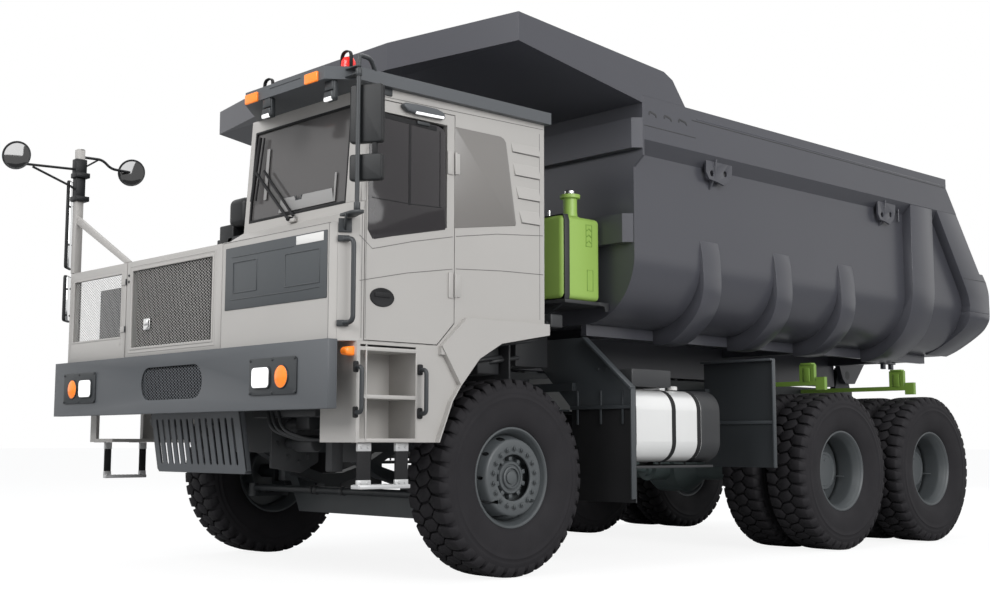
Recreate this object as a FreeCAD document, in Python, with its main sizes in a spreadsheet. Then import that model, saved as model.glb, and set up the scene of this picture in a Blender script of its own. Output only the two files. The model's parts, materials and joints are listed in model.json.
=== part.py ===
"""Rigid six-wheel mining dump truck with an offset cab, as a parametric document.

Millimetres. +X is the truck's left (the driver's side), the front faces -Y and +Z is up.
The origin is on the ground under the middle of the overall length and width.
Stations along the truck are measured from the front axle; place() moves them to the origin.
"""
import FreeCAD, Part
import os
import re

import Sketcher

SIZES = {
    # overall reach of the mirrors and the tail from the front axle
    "front_reach": 2480, "tail_reach": 7100,
    # running clearances
    "seat": 0.3, "play": 0.5, "gap": 6, "swing": 10,
    # tyres and rims
    "axle_two": 4120, "axle_gap": 1690, "front_track": 1585, "rear_track": 1600, "twin_pitch": 510,
    "tyre_radius": 746.5, "tyre_width": 430, "tread_half": 178, "shoulder_drop": 60,
    "shoulder_in": 10, "bead_radius": 372, "bead_half": 150, "flank_rise": 185, "heel_rise": 95,
    "heel_in": 12, "rim_wall": 22, "disc_wall": 26, "disc_out": 30, "twin_disc": 90,
    # hubs
    "hub_radius": 160, "hub_half": 120, "hub_cone": 45, "hub_lap": 10, "spindle_stop": 40,
    "drum_radius": 175, "drum_lip": 30, "drum_nose": 20, "stub_stop": 60,
    # front axle and steering
    "kingpin_x": 1215, "kingpin_radius": 45, "spindle_radius": 60, "spindle_end": 35,
    "boss_wall": 40, "boss_low": 665, "boss_high": 825, "beam_low": 400, "beam_high": 560,
    "beam_half": 85, "beam_tongue": 80, "neck_top": 205, "bend_top": 355, "neck_foot": 175,
    "bend_foot": 315, "fork_wall": 60, "fork_back": 30, "arm_reach": 360, "arm_low": 530,
    "arm_wall": 35, "arm_half": 45, "arm_drop": 60, "arm_eye": 50, "tie_radius": 30,
    "tie_lip": 6, "tie_z": 610, "tie_eye": 45,
    # rear axles
    "casing_radius": 115, "bowl_radius": 245, "bowl_half": 170, "bowl_run": 190,
    "stub_radius": 75, "stub_short": 70, "nose_radius": 125, "nose_reach": 480,
    "perch_half": 90, "perch_rise": 20,
    # springs
    "spring_gap": 50, "spring_wide": 110, "leaf_reach": 720, "leaf_deep": 90, "front_perch": 90,
    "front_eye": 360, "front_sag": 75, "leaf_clamp": 100, "hanger_half": 40, "hanger_bite": 20,
    "hanger_top": 1450, "leaf_end": 110, "leaf_thin": 50, "rear_camber": 150, "rear_arch": 320,
    "arch_half": 150, "trunnion_half": 130, "saddle_half": 80, "saddle_low": 60,
    "saddle_high": 200,
    # chassis
    "rail_in": 380, "rail_out": 470, "rail_high": 1640, "rail_low": 1300, "rail_web": 14,
    "rail_front": -1780, "rail_rear": 6860, "cross_low": 1340, "cross_high": 1600,
    "cross_wide": 90, "cross_two": 900, "cross_three": 2720, "cross_four": 3620,
    "cross_five": 6360, "pad_high": 1656, "pad_run": 160, "pad_one": 1400, "pad_two": 3220,
    "pad_three": 4220, "foot_plate": 90, "foot_in": 10, "foot_out": 40,
    # tipping hinge and hoist
    "hinge_y": 6660, "hinge_z": 1800, "hinge_pin": 50, "hinge_wall": 45, "ear_wall": 60,
    "ear_run": 160, "ear_shoulder": 40, "ear_crown": 50, "hoist_x": 285, "foot_y": 5500,
    "foot_z": 850, "head_y": 4400, "head_z": 1800, "barrel_radius": 80, "barrel_short": 160,
    "rod_radius": 45, "rod_neck": 140, "neck_bar": 28, "rod_inside": 1180, "bore_deep": 1200,
    "eye_radius": 62, "eye_half": 30, "eye_lap": 12, "pin_radius": 32, "pin_end": 20,
    # engine and driveline
    "engine_half": 350, "engine_front": -1150, "engine_rear": 600, "engine_low": 930,
    "engine_high": 2150, "engine_foot": 140, "foot_high": 110, "foot_near": 120, "foot_far": 300,
    "gear_half": 260, "gear_run": 780, "gear_low": 960, "gear_nose": 990,
    "shaft_radius": 50, "shaft_high": 1110, "joint_radius": 75, "joint_run": 60,
    # bumper and skid guard
    "bumper_half": 2000, "bumper_front": -1906, "bumper_low": 1228, "bumper_high": 1684,
    "bumper_wall": 10, "bumper_rear": -1830, "lamp_x": 1410, "lamp_half": 285, "lamp_low": 1335,
    "lamp_high": 1555, "lamp_proud": 14, "oval_half": 450, "oval_low": 1330, "oval_high": 1596,
    "skid_y": -1606, "skid_wall": 12, "skid_half": 690, "skid_foot": 600, "skid_low": 775,
    "skid_depth": 350, "skid_heel": 60, "slot_half": 16, "slot_low": 855, "slot_high": 1170,
    # front screens
    "screen_front": -1826, "screen_rear": -1781, "screen_high": 2475, "bar_wide": 70,
    "head_bar": 35, "fence_out": -1945, "fence_in": -915, "door_hinge": -905, "grille_left": 553,
    "nose_left": 1890, "nose_flare": 30, "mesh_wall": 5, "mesh_set": 20, "mesh_lap": 5,
    "fence_sill": 1790, "grille_sill": 1762,
    # cab
    "cab_in": 520, "cab_out": 2000, "cab_low": 1680, "cab_high": 3437, "cab_rear": 100,
    "cab_wall": 50, "cowl_high": 2575, "cowl_y": -1625, "brow_y": -1565, "flank_low": 1887,
    "flank_y": -340, "flank_ramp": 150, "chamfer_x": 110, "chamfer_y": 170,
    "glass_in": 585, "glass_out": 1880, "glass_low": 2645, "glass_high": 3342,
    "side_glass_front": -741, "side_glass_rear": -205, "side_glass_head": -345,
    "side_glass_low": 2545, "side_glass_knee": 2619, "side_glass_high": 3270,
    "far_glass_front": -1435, "far_glass_rear": -160, "far_glass_low": 2580,
    "back_glass_edge": 250, "back_glass_low": 2630, "back_glass_high": 3187,
    "pane": 6, "pane_set": 12,
    # cab door
    "door_front": -1615, "door_rear": -816, "door_low": 1690, "door_high": 3350,
    "door_wall": 46, "door_heel": 160, "door_lean": 40, "door_shoulder": 500,
    "hinge_stand": 12, "leaf_run": 75, "leaf_tall": 150, "lower_hinge": 2050, "upper_hinge": 3020,
    "door_glass_front": -1540, "door_glass_rear": -886, "door_glass_low": 2375,
    "door_glass_knee": 2525, "door_glass_high": 3270, "door_pane_set": 18,
    # cab roof and inside
    "visor_in": 470, "visor_out": 2050, "visor_front": -1900, "visor_rear": 130, "visor_wall": 90,
    "visor_far": 935, "visor_turn": -1451, "visor_near": 1900, "visor_corner": -1700,
    "seat_x": 1400, "seat_y": -500, "seat_foot": 220, "seat_half": 270, "seat_front": 300,
    "seat_low": 2110, "cushion_high": 2240, "back_wall": 130, "back_high": 2940,
    "dash_rear": -1330, "dash_knee": -1290, "dash_brow": -1500, "dash_lip": -1631,
    "dash_high": 2480, "dash_crown": 2580, "dash_low": 2400, "dash_run": 1250,
    "column_radius": 35, "column_low": 2380, "wheel_y": -1130, "wheel_z": 2580,
    "wheel_radius": 215, "wheel_rim": 16, "spoke_half": 15,
    # fenders and steps
    "apron_low": 1009, "nose_y": -1633, "nose_deep": 400, "sheet": 30, "arch_foot": -975,
    "arch_heel_y": -854, "arch_heel": 1298, "arch_low_y": -775, "arch_low": 1409,
    "arch_bend_y": -600, "arch_bend": 1605, "arch_mid_y": -380, "arch_mid": 1725,
    "arch_high": 1814, "flare_proud": 40, "flare_high": 1897, "flare_rear": 118,
    "flare_front": -722, "flare_dip": 6, "flare_heel": -956, "step_rear": -1158,
    "step_deep": 300, "far_apron": 1850, "step_wall": 20, "tread_wall": 26, "tread_two": 1300,
    "tread_three": 1620,
    "recess_head": 20, "liner_in": 1330, "liner_wall": 12, "hang_low": 725, "strap_in": 60,
    "strap_wall": 8, "strap_wide": 105, "strap_set": 28, "rung_in": 130, "rung_out": 20, "rung_wall": 25,
    # deck over the engine
    "far_side": 1848, "walk_wall": 40, "deck_wall": 8, "hood_in": -895, "hood_rear": 350,
    "beam_wide": 80, "beam_in": 1600, "beam_end": 1050, "beam_rear": -510, "core_left": 400,
    "core_right": -700,
    "core_set": 60, "core_wall": 140, "filter_x": 140, "filter_y": -1350, "filter_radius": 130,
    "filter_foot": 140, "filter_base": 60, "filter_tall": 385, "locker_out": -1620,
    "locker_in": -1000, "locker_set": 80, "locker_run": 480, "locker_high": 2310,
    # mast and mirrors
    "mast_wide": 80, "mast_high": 3590, "brace_foot": -975, "brace_toe": -905, "brace_low": 2910,
    "brace_high": 2980, "disc_radius": 125, "disc_z": 3448, "dish_wall": 40,
    "far_disc": -1291, "arm_radius": 11, "disc_drop": 65, "arm_sag": 40, "stay_sag": 210,
    "stay_back": 130,
    "mirror_reach": 2170, "mirror_wide": 200, "mirror_wall": 30, "mirror_back": 150,
    "tall_low": 2530, "tall_run": 800, "short_low": 2060, "short_run": 420, "stay_wide": 22,
    "stay_in": 90, "tube_radius": 15, "tube_in": 25, "tube_out": 2106, "tube_front": -1767,
    "shelf_wall": 26, "shelf_long": 78, "shelf_short": 28, "link_deep": 50, "near_wide": 240,
    "near_wall": 50, "near_in": 2029, "near_ahead": -1780, "near_tall": 400, "near_short": 180,
    "near_low": 2990, "near_foot": 2735,
    # tanks, guards and green bars
    "guard_y": 1150, "guard_in": 1290, "guard_out": 1990, "guard_wall": 10, "flap_low": 530,
    "guard_peak": 1890, "guard_cut": 1450, "guard_crest": 180, "bracket_lap": 60,
    "bracket_low": 1440, "bracket_high": 1510, "tank_front": 1200, "tank_rear": 2300,
    "tank_in": 1360, "tank_out": 1960, "tank_low": 850, "tank_high": 1450, "tank_round": 170,
    "cradle_wide": 70, "cradle_one": 1450, "cradle_two": 1980, "cradle_lap": 200,
    "cradle_low": 1300, "cradle_high": 1580, "oil_in": 1150, "oil_out": 1700, "oil_front": 610,
    "oil_rear": 1070, "oil_low": 2160, "oil_high": 2880, "oil_round": 60, "neck_radius": 55,
    "neck_rise": 220, "neck_in": 100, "neck_back": 200, "stand_in": 20, "stand_set": 40, "stand_wall": 30,
    "wing_y": 2960, "wing_low": 790, "wing_high": 1760, "wing_out": 2080, "bar_end": 1800,
    "bar_half": 22, "bar_z": 1590, "knob_in": 1765, "knob_out": 1868, "knob_low": 1523,
    "knob_high": 1648, "clamp_in": 1583, "clamp_out": 1750, "clamp_wall": 38, "clamp_high": 1775,
    # dump body
    "tub_half": 2000, "tub_low": 2000, "tub_front": 1150, "tub_round": 550, "tub_wall": 22,
    "band_out": 2100, "band_low": 3486, "band_high": 3850, "lip_low": 3752,
    "tail_top": 6195, "tail_knee": 6895, "knee_z": 2875, "tail_chin": 195, "chin_run": 136,
    "tail_bar": 430, "tail_flare": 460, "flare_top": 2441, "flare_step": 2590, "bar_foot": 2815,
    "brow_low": 3350, "brow_rise": 80, "beam_deep": 70, "upper_low": 3411, "upper_high": 3664,
    "lower_half": 1990, "lower_low": 2641, "lower_high": 2880, "beam_chamfer": 60,
    "canopy_front": -270, "canopy_nose": -490, "canopy_high": 4235, "canopy_fall": 4104,
    "canopy_lip": 4010, "canopy_floor": 3790, "canopy_rear": 1434, "canopy_bend": 1548,
    "bend_high": 4052, "canopy_foot": 1712, "canopy_wall": 20, "nose_half": 800,
    "sill_low": 1662, "sill_rear": 6480, "sill_out": 1460, "sill_deep": 95, "sill_wide": 60,
    "sill_run": 300, "tie_wide": 120, "tie_one": 1450, "tie_two": 4340, "tie_three": 6360,
    "rib_first": 2120, "rib_pitch": 1080, "rib_half": 145, "rib_tip": 2725, "rib_deep": 130,
    "hoop_front": 5430, "hoop_rear": 5880, "lug_wall": 22, "lug_half": 80, "lug_deep": 80,
    "lug_seat": 160, "lug_plate": 25, "body_ear_front": 200, "body_ear_rear": 430,
    "body_ear_heel": 160,
}

MIDDLE = "((tail_reach - front_reach) / 2)"
FUNCTIONS = {"sin", "cos", "tan", "atan", "sqrt", "abs", "min", "max"}
ROLES = {"XY": "XY_Plane", "XZ": "XZ_Plane", "YZ": "YZ_Plane"}
TURN = {
    "X": FreeCAD.Rotation(FreeCAD.Vector(0, 1, 0), 90),
    "Y": FreeCAD.Rotation(FreeCAD.Vector(1, 0, 0), -90),
    "Z": FreeCAD.Rotation(),
}

doc = FreeCAD.newDocument("mining_dump_truck")
sheet = doc.addObject("Spreadsheet::Sheet", "dims")
for row, (alias, size) in enumerate(SIZES.items(), start=1):
    sheet.set(f"A{row}", alias)
    sheet.set(f"B{row}", str(size))
    sheet.setAlias(f"B{row}", alias)
doc.recompute()


def bound(text):
    """The expression with every size's name pointed at the sheet."""
    return re.sub(r"[a-z][a-z_]*", lambda m: m[0] if m[0] in FUNCTIONS else "dims." + m[0], str(text))


def value(text):
    """The number that an expression comes to."""
    return float(sheet.evalExpression(bound(text)))


def place(thing, x, y, z, turn=None):
    """Puts a thing at bound coordinates, with its station measured from the front axle."""
    if turn is not None:
        thing.Placement = FreeCAD.Placement(FreeCAD.Vector(), turn)
    for axis, text in zip("xyz", (x, f"{y} - {MIDDLE}", z)):
        thing.setExpression(f"Placement.Base.{axis}", bound(text))
    return thing


def box(name, x0, x1, y0, y1, z0, z1):
    """A block between two bound coordinates each way."""
    block = doc.addObject("Part::Box", name)
    for side, low, high in (("Length", x0, x1), ("Width", y0, y1), ("Height", z0, z1)):
        block.setExpression(side, bound(f"({high}) - ({low})"))
    return place(block, x0, y0, z0)


def cylinder(name, axis, radius, length, x, y, z):
    """A cylinder that runs from (x, y, z) towards plus its axis."""
    rod = doc.addObject("Part::Cylinder", name)
    rod.setExpression("Radius", bound(radius))
    rod.setExpression("Height", bound(length))
    return place(rod, x, y, z, TURN[axis])


def fuse(name, *shapes):
    """One solid from several that touch or overlap."""
    joined = doc.addObject("Part::MultiFuse", name)
    joined.Shapes = list(shapes)
    joined.Refine = True
    return joined


def group(name, *shapes):
    """Separate solids kept together in one node."""
    kept = doc.addObject("Part::Compound", name)
    kept.Links = list(shapes)
    return kept


def cut(name, base, *tools):
    """The base with each tool taken out of it."""
    for index, tool in enumerate(tools):
        last = index == len(tools) - 1
        rest = doc.addObject("Part::Cut", name if last else f"{name}_cut{index + 1}")
        rest.Base, rest.Tool, rest.Refine = base, tool, True
        base = rest
    return base


def mirror(name, source):
    """The same piece on the other side of the truck."""
    twin = doc.addObject("Part::Mirroring", name)
    twin.Source = source
    twin.Normal = FreeCAD.Vector(1, 0, 0)
    return twin


def sketch(body, plane, outline):
    """A closed outline of bound corners, drawn on one of a body's origin planes."""
    drawn = body.newObject("Sketcher::SketchObject", body.Name + "_outline")
    role = ROLES[plane]
    drawn.AttachmentSupport = [(next(p for p in body.Origin.OriginFeatures if p.Role == role), "")]
    drawn.MapMode = "FlatFace"
    corners = [FreeCAD.Vector(value(a), value(b), 0) for a, b in outline]
    count = len(corners)
    for index, corner in enumerate(corners):
        drawn.addGeometry(Part.LineSegment(corner, corners[(index + 1) % count]), False)
    for index in range(count):
        drawn.addConstraint(Sketcher.Constraint("Coincident", index, 2, (index + 1) % count, 1))
    for index, (a, b) in enumerate(outline):
        for kind, text, now in (("DistanceX", a, corners[index].x), ("DistanceY", b, corners[index].y)):
            number = drawn.addConstraint(Sketcher.Constraint(kind, -1, 1, index, 1, now))
            drawn.setExpression(f"Constraints[{number}]", bound(text))
    return drawn


def pad(name, plane, outline, start, length, rounds=()):
    """A prism with a bound outline; rounds lists (corner number, radius) to soften."""
    body = doc.addObject("PartDesign::Body", name)
    shape = body.newObject("PartDesign::Pad", name + "_pad")
    drawn = sketch(body, plane, outline)
    shape.Profile = drawn
    shape.setExpression("Length", bound(length))
    shape.Reversed = plane == "XZ"
    body.Tip = shape
    if rounds:
        doc.recompute()
        soften(body, shape, plane, outline, rounds)
    origin = {"XY": ("0", "0", start), "XZ": ("0", start, "0"), "YZ": (start, "0", "0")}[plane]
    return place(body, *origin)


def soften(body, shape, plane, outline, rounds):
    """Rounds the prism's long edges at the chosen corners."""
    axes = {"XY": (0, 1, 2), "XZ": (0, 2, 1), "YZ": (1, 2, 0)}[plane]
    for corner, radius in rounds:
        spot = [value(text) for text in outline[corner]]
        names = []
        for number, edge in enumerate(shape.Shape.Edges, start=1):
            ends = [vertex.Point for vertex in edge.Vertexes]
            near = all(abs(end[axes[side]] - spot[side]) < 0.01 for end in ends for side in (0, 1))
            if len(ends) == 2 and near:
                names.append(f"Edge{number}")
        rounded = body.newObject("PartDesign::Fillet", f"{body.Name}_round{corner}")
        rounded.Base = (shape, names)
        rounded.setExpression("Radius", bound(radius))
        body.Tip = rounded
        doc.recompute()
        shape = rounded


def turned(name, outline, x, y, z):
    """A solid of revolution about X: the outline holds (distance along X, radius) corners."""
    body = doc.addObject("PartDesign::Body", name)
    drawn = sketch(body, "XZ", outline)
    shape = body.newObject("PartDesign::Revolution", name + "_turn")
    shape.Profile = drawn
    shape.ReferenceAxis = (drawn, ["H_Axis"])
    shape.Angle = 360
    body.Tip = shape
    return place(body, x, y, z)


def strut(name, radius, start, end):
    """A round bar between two points given as bound (x, y, z)."""
    run = [f"(({far}) - ({near}))" for near, far in zip(start, end)]
    bar = doc.addObject("Part::Cylinder", name)
    bar.setExpression("Radius", bound(radius))
    bar.setExpression("Height", bound("sqrt(" + " + ".join(f"{side} * {side}" for side in run) + ")"))
    heading = FreeCAD.Vector(*[value(side) for side in run])
    return place(bar, *start, FreeCAD.Rotation(FreeCAD.Vector(0, 0, 1), heading))


def slab(name, wide, thick, tall, x, y, z, heading):
    """An upright plate turned about its own corner by a heading in degrees."""
    plate = doc.addObject("Part::Box", name)
    for side, size in (("Length", wide), ("Width", thick), ("Height", tall)):
        plate.setExpression(side, bound(size))
    return place(plate, x, y, z, FreeCAD.Rotation(FreeCAD.Vector(0, 0, 1), heading))


NODES = []


def node(label, thing):
    """Names a finished sub-part; its name is its file's name."""
    thing.Label = label
    NODES.append(thing)
    return thing


# ---------------------------------------------------------------- wheels

def tyre(name, x, station):
    """A tyre's carcass, closed over its rim."""
    half = "tyre_width / 2"
    side = [("bead_half", "bead_radius"), (f"{half} - heel_in", "bead_radius + heel_rise"),
            (half, "bead_radius + flank_rise"), (f"{half} - shoulder_in", "tyre_radius - shoulder_drop"),
            ("tread_half", "tyre_radius")]
    other = [(f"-({a})", b) for a, b in reversed(side)]
    return turned(name, side + other, x, station, "tyre_radius")


def rim_barrel(name, x, station, disc_at):
    """A rim's barrel with its disc at one distance from the wheel's middle."""
    outer, inner, bore = "bead_radius - seat", "bead_radius - seat - rim_wall", "hub_radius - hub_lap"
    near, far = f"{disc_at} - disc_wall / 2", f"{disc_at} + disc_wall / 2"
    outline = [("-bead_half", inner), (near, inner), (near, bore), (far, bore), (far, inner),
               ("bead_half", inner), ("bead_half", outer), ("-bead_half", outer)]
    return turned(name, outline, x, station, "tyre_radius")


def hub(name, radius, low, high, bore, depth, x, station):
    """A hub that is blind on the outside and bored for its spindle from the inside."""
    outline = [(low, bore), (low, radius), (high, radius), (f"{high} + hub_cone", f"{radius} - hub_cone"),
               (f"{high} + hub_cone", "0"), (depth, "0"), (depth, bore)]
    return turned(name, outline, x, station, "tyre_radius")


def front_wheel(side, sign):
    """A steered wheel with one tyre."""
    outer = tyre(f"{side}_tyre_ring", "front_track", "0")
    rim = fuse(f"{side}_rim_whole", rim_barrel(f"{side}_rim_barrel", "front_track", "0", "disc_out"),
               hub(f"{side}_hub", "hub_radius", "-hub_half", "hub_half", "spindle_radius + play",
                   "spindle_stop", "front_track", "0"))
    whole = group(f"{side}_wheel_whole", outer, rim)
    node(f"front_{side}_wheel", whole if sign > 0 else mirror("front_wheel_twin", whole))


def rear_wheel(axle, side, sign, station):
    """A twin wheel: two tyres and their rims on one drum."""
    name, half = f"{axle}_{side}", "twin_pitch / 2"
    rings = [tyre(f"{name}_ring{n}", f"rear_track {step} {half}", station) for n, step in ((1, "+"), (2, "-"))]
    barrels = [rim_barrel(f"{name}_barrel{n}", f"rear_track {step} {half}", station, disc)
               for n, step, disc in ((1, "+", "-twin_disc"), (2, "-", "twin_disc"))]
    drum = hub(f"{name}_drum", "drum_radius", f"-{half} - bead_half + drum_lip", f"{half} + drum_nose",
               "stub_radius + play", f"{half} - stub_stop", "rear_track", station)
    whole = group(f"{name}_whole", *rings, fuse(f"{name}_rims", *barrels, drum))
    node(f"{name}_wheels", whole if sign > 0 else mirror(f"{name}_twin", whole))


SIDES = (("left", 1), ("right", -1))
AXLES = (("axle_two", "axle_two"), ("axle_three", "axle_two + axle_gap"))
for side, sign in SIDES:
    front_wheel(side, sign)
for axle, station in AXLES:
    for side, sign in SIDES:
        rear_wheel(axle, side, sign, station)

# ---------------------------------------------------------------- front axle and steering

boss_radius = "(kingpin_radius + boss_wall)"
half_top = [("kingpin_x - beam_tongue", "boss_high"), ("kingpin_x - neck_top", "boss_high"),
            ("kingpin_x - bend_top", "beam_high")]
half_foot = [("kingpin_x - bend_foot", "beam_low"), ("kingpin_x - neck_foot", "boss_low"),
             ("kingpin_x - beam_tongue", "boss_low")]
beam_outline = half_top + [(f"-({x})", z) for x, z in reversed(half_top)]
beam_outline += [(f"-({x})", z) for x, z in reversed(half_foot)] + half_foot
beam = pad("axle_beam", "XZ", beam_outline, "-beam_half", "2 * beam_half")
boss = cylinder("kingpin_boss", "Z", boss_radius, "boss_high - boss_low", "kingpin_x", "0", "boss_low")
beam_whole = fuse("beam_whole", beam, boss, mirror("kingpin_boss_twin", boss))
bore = cylinder("kingpin_bore", "Z", "kingpin_radius + play", "boss_high - boss_low + 2 * swing",
                "kingpin_x", "0", "boss_low - swing")
node("front_axle_beam", cut("beam_bored", beam_whole, bore, mirror("kingpin_bore_twin", bore)))


def knuckle():
    """The forked knuckle with its kingpin, spindle and steering arm."""
    fork_in, plate_in = f"kingpin_x - {boss_radius}", f"kingpin_x + {boss_radius} + gap"
    fork_low, fork_high = "boss_low - swing - fork_wall", "boss_high + swing + fork_wall"
    forks = [box(f"fork_{n}", fork_in, f"{plate_in} + fork_back", "-beam_half", "beam_half", low, high)
             for n, low, high in (("low", fork_low, "boss_low - swing"),
                                  ("high", "boss_high + swing", fork_high))]
    back = box("fork_plate", plate_in, f"{plate_in} + fork_back", "-beam_half", "beam_half", fork_low,
               fork_high)
    pin = cylinder("kingpin", "Z", "kingpin_radius", "boss_high - boss_low + 2 * swing",
                   "kingpin_x", "0", "boss_low - swing")
    spindle = cylinder("spindle", "X", "spindle_radius", f"front_track + spindle_end - ({plate_in})",
                       plate_in, "0", "tyre_radius")
    near, far = "kingpin_x - arm_half", "kingpin_x + arm_half"
    drop = box("steering_drop", near, far, "-beam_half", "-beam_half + arm_drop", "arm_low", "boss_low - swing")
    arm = box("steering_arm", near, far, "-arm_reach", "-beam_half", "arm_low", "arm_low + arm_wall")
    ball = cylinder("steering_eye", "Z", "arm_eye", "tie_z - tie_radius - tie_lip - seat - arm_low",
                    "kingpin_x", "-arm_reach", "arm_low")
    return fuse("knuckle_whole", *forks, back, pin, spindle, drop, arm, ball)


left_knuckle = knuckle()
node("left_knuckle", left_knuckle)
node("right_knuckle", mirror("knuckle_twin", left_knuckle))

tie_bar = cylinder("tie_bar", "X", "tie_radius", "2 * kingpin_x", "-kingpin_x", "-arm_reach", "tie_z")
tie_eyes = [cylinder(f"tie_eye{n}", "Z", "tie_eye", "2 * (tie_radius + tie_lip)", x, "-arm_reach",
                     "tie_z - tie_radius - tie_lip")
            for n, x in ((1, "kingpin_x"), (2, "-kingpin_x"))]
node("tie_rod", fuse("tie_whole", tie_bar, *tie_eyes))

# ---------------------------------------------------------------- rear axles

perch_high = "(tyre_radius + casing_radius + perch_rise)"
spring_in = "(rail_out + spring_gap)"
spring_out = "(rail_out + spring_gap + spring_wide)"
for axle, station in AXLES:
    stub_end = "rear_track + twin_pitch / 2 - stub_short"
    casing_end = "rear_track - twin_pitch / 2 - tyre_width / 2 - swing"
    half = [("bowl_half", "bowl_radius"), ("bowl_half + bowl_run", "casing_radius"),
            (casing_end, "casing_radius"), (casing_end, "stub_radius"), (stub_end, "stub_radius")]
    outline = ([(f"-({stub_end})", "0")] + [(f"-({x})", r) for x, r in reversed(half)] + half
               + [(stub_end, "0")])
    casing = turned(f"{axle}_tube", outline, "0", station, "tyre_radius")
    nose = cylinder(f"{axle}_nose", "Y", "nose_radius", "nose_reach", "0", f"{station} - nose_reach",
                    "tyre_radius")
    perches = [box(f"{axle}_perch{n}", x0, x1, f"{station} - perch_half", f"{station} + perch_half",
                   "tyre_radius", perch_high)
               for n, x0, x1 in ((1, spring_in, spring_out),
                                 (2, f"-{spring_out}", f"-{spring_in}"))]
    node(f"{axle}_casing", fuse(f"{axle}_whole", casing, nose, *perches))

# ---------------------------------------------------------------- springs

trunnion = "(axle_two + axle_gap / 2)"


def front_spring():
    """A leaf pack over the beam, on hangers beside the rail."""
    perch, eye = "beam_high + front_perch", "beam_high + front_eye"
    low = [("-leaf_reach", eye), ("-leaf_reach / 2", f"{perch} + front_sag"), ("-leaf_clamp", perch),
           ("leaf_clamp", perch), ("leaf_reach / 2", f"{perch} + front_sag"), ("leaf_reach", eye)]
    high = [(y, f"{z} + leaf_deep") for y, z in reversed(low)]
    pack = pad("front_leaves", "YZ", low + high, spring_in, "spring_wide")
    saddle = box("front_saddle", spring_in, spring_out, "-beam_half", "beam_half", "beam_high + seat", perch)
    hangers = [box(f"front_hanger{n}", "rail_out + seat", spring_out, f"{y} - hanger_half",
                   f"{y} + hanger_half", f"{eye} + hanger_bite", "hanger_top")
               for n, y in ((1, "-leaf_reach + hanger_half"), (2, "leaf_reach - hanger_half"))]
    return fuse("front_spring_whole", pack, saddle, *hangers)


def rear_spring():
    """An inverted leaf pack on a trunnion, its ends on both axles."""
    foot = f"{perch_high} + seat"
    front, rear = "axle_two", "axle_two + axle_gap"
    low = [(f"{front} - leaf_end", foot), (f"{front} + leaf_end", foot), (trunnion, f"{foot} + rear_camber"),
           (f"{rear} - leaf_end", foot), (f"{rear} + leaf_end", foot)]
    high = [(f"{rear} + leaf_end", f"{foot} + leaf_thin"), (f"{trunnion} + arch_half", f"{foot} + rear_arch"),
            (f"{trunnion} - arch_half", f"{foot} + rear_arch"), (f"{front} - leaf_end", f"{foot} + leaf_thin")]
    pack = pad("rear_leaves", "YZ", low + high, spring_in, "spring_wide")
    bracket = box("trunnion_bracket", "rail_in", spring_in, f"{trunnion} - trunnion_half",
                  f"{trunnion} + trunnion_half", f"{foot} + saddle_low", "rail_low - seat")
    saddle = box("trunnion_saddle", "rail_in", spring_out, f"{trunnion} - saddle_half",
                 f"{trunnion} + saddle_half", f"{foot} + saddle_low", f"{foot} + saddle_high")
    return fuse("rear_spring_whole", pack, bracket, saddle)


def both(name, left):
    """A left-hand solid and its mirror, kept in one node."""
    return group(f"{name}_pair", left, mirror(f"{name}_mirror", left))


node("front_springs", both("front_spring", front_spring()))
node("rear_springs", both("rear_spring", rear_spring()))

# ---------------------------------------------------------------- chassis and driveline

def rail():
    """A channel rail, open towards the middle, with its tail ear and hoist foot."""
    whole = box("rail_block", "rail_in", "rail_out", "rail_front", "rail_rear", "rail_low", "rail_high")
    hollow = box("rail_hollow", "rail_in", "rail_out - rail_web", "rail_front", "rail_rear",
                 "rail_low + rail_web", "rail_high - rail_web")
    channel = cut("rail_channel", whole, hollow)
    pads = [box(f"rail_pad{n}", "rail_in", "rail_out", y, f"{y} + pad_run", "rail_high", "pad_high")
            for n, y in ((1, "pad_one"), (2, "pad_two"), (3, "pad_three"))]
    around, crown = "(hinge_pin + hinge_wall)", "hinge_z + hinge_pin + hinge_wall"
    ear = pad("tail_ear", "YZ", [("hinge_y - ear_run", "rail_high"), ("hinge_y + ear_run", "rail_high"),
                                 (f"hinge_y + {around}", "hinge_z + ear_shoulder"),
                                 ("hinge_y + ear_crown", crown), ("hinge_y - ear_crown", crown),
                                 (f"hinge_y - {around}", "hinge_z + ear_shoulder")],
              "rail_in + 2 * swing", "rail_out - rail_in - 2 * swing")
    bracket = box("foot_bracket", "rail_in + foot_in", "rail_out - foot_out", "foot_y - foot_plate",
                  "foot_y + foot_plate", "foot_z - foot_plate", "rail_low")
    foot_pin = cylinder("foot_pin", "X", "pin_radius", "rail_in + pin_end - hoist_x + eye_half + gap",
                        "hoist_x - eye_half - gap", "foot_y", "foot_z")
    return fuse("rail_whole", channel, *pads, ear, bracket, foot_pin)


left_rail = rail()
crosses = [box(f"cross{n}", "-rail_out + rail_web", "rail_out - rail_web", y, f"{y} + cross_wide",
               "cross_low", "cross_high")
           for n, y in enumerate(("rail_front", "cross_two", "cross_three", "cross_four", "cross_five"))]
pin_reach = "(rail_out + ear_wall + gap)"
hinge_shaft = cylinder("hinge_shaft", "X", "hinge_pin", f"2 * {pin_reach}", f"-{pin_reach}", "hinge_y",
                       "hinge_z")
node("chassis_frame", fuse("frame_whole", left_rail, mirror("rail_twin", left_rail), *crosses, hinge_shaft))

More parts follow.
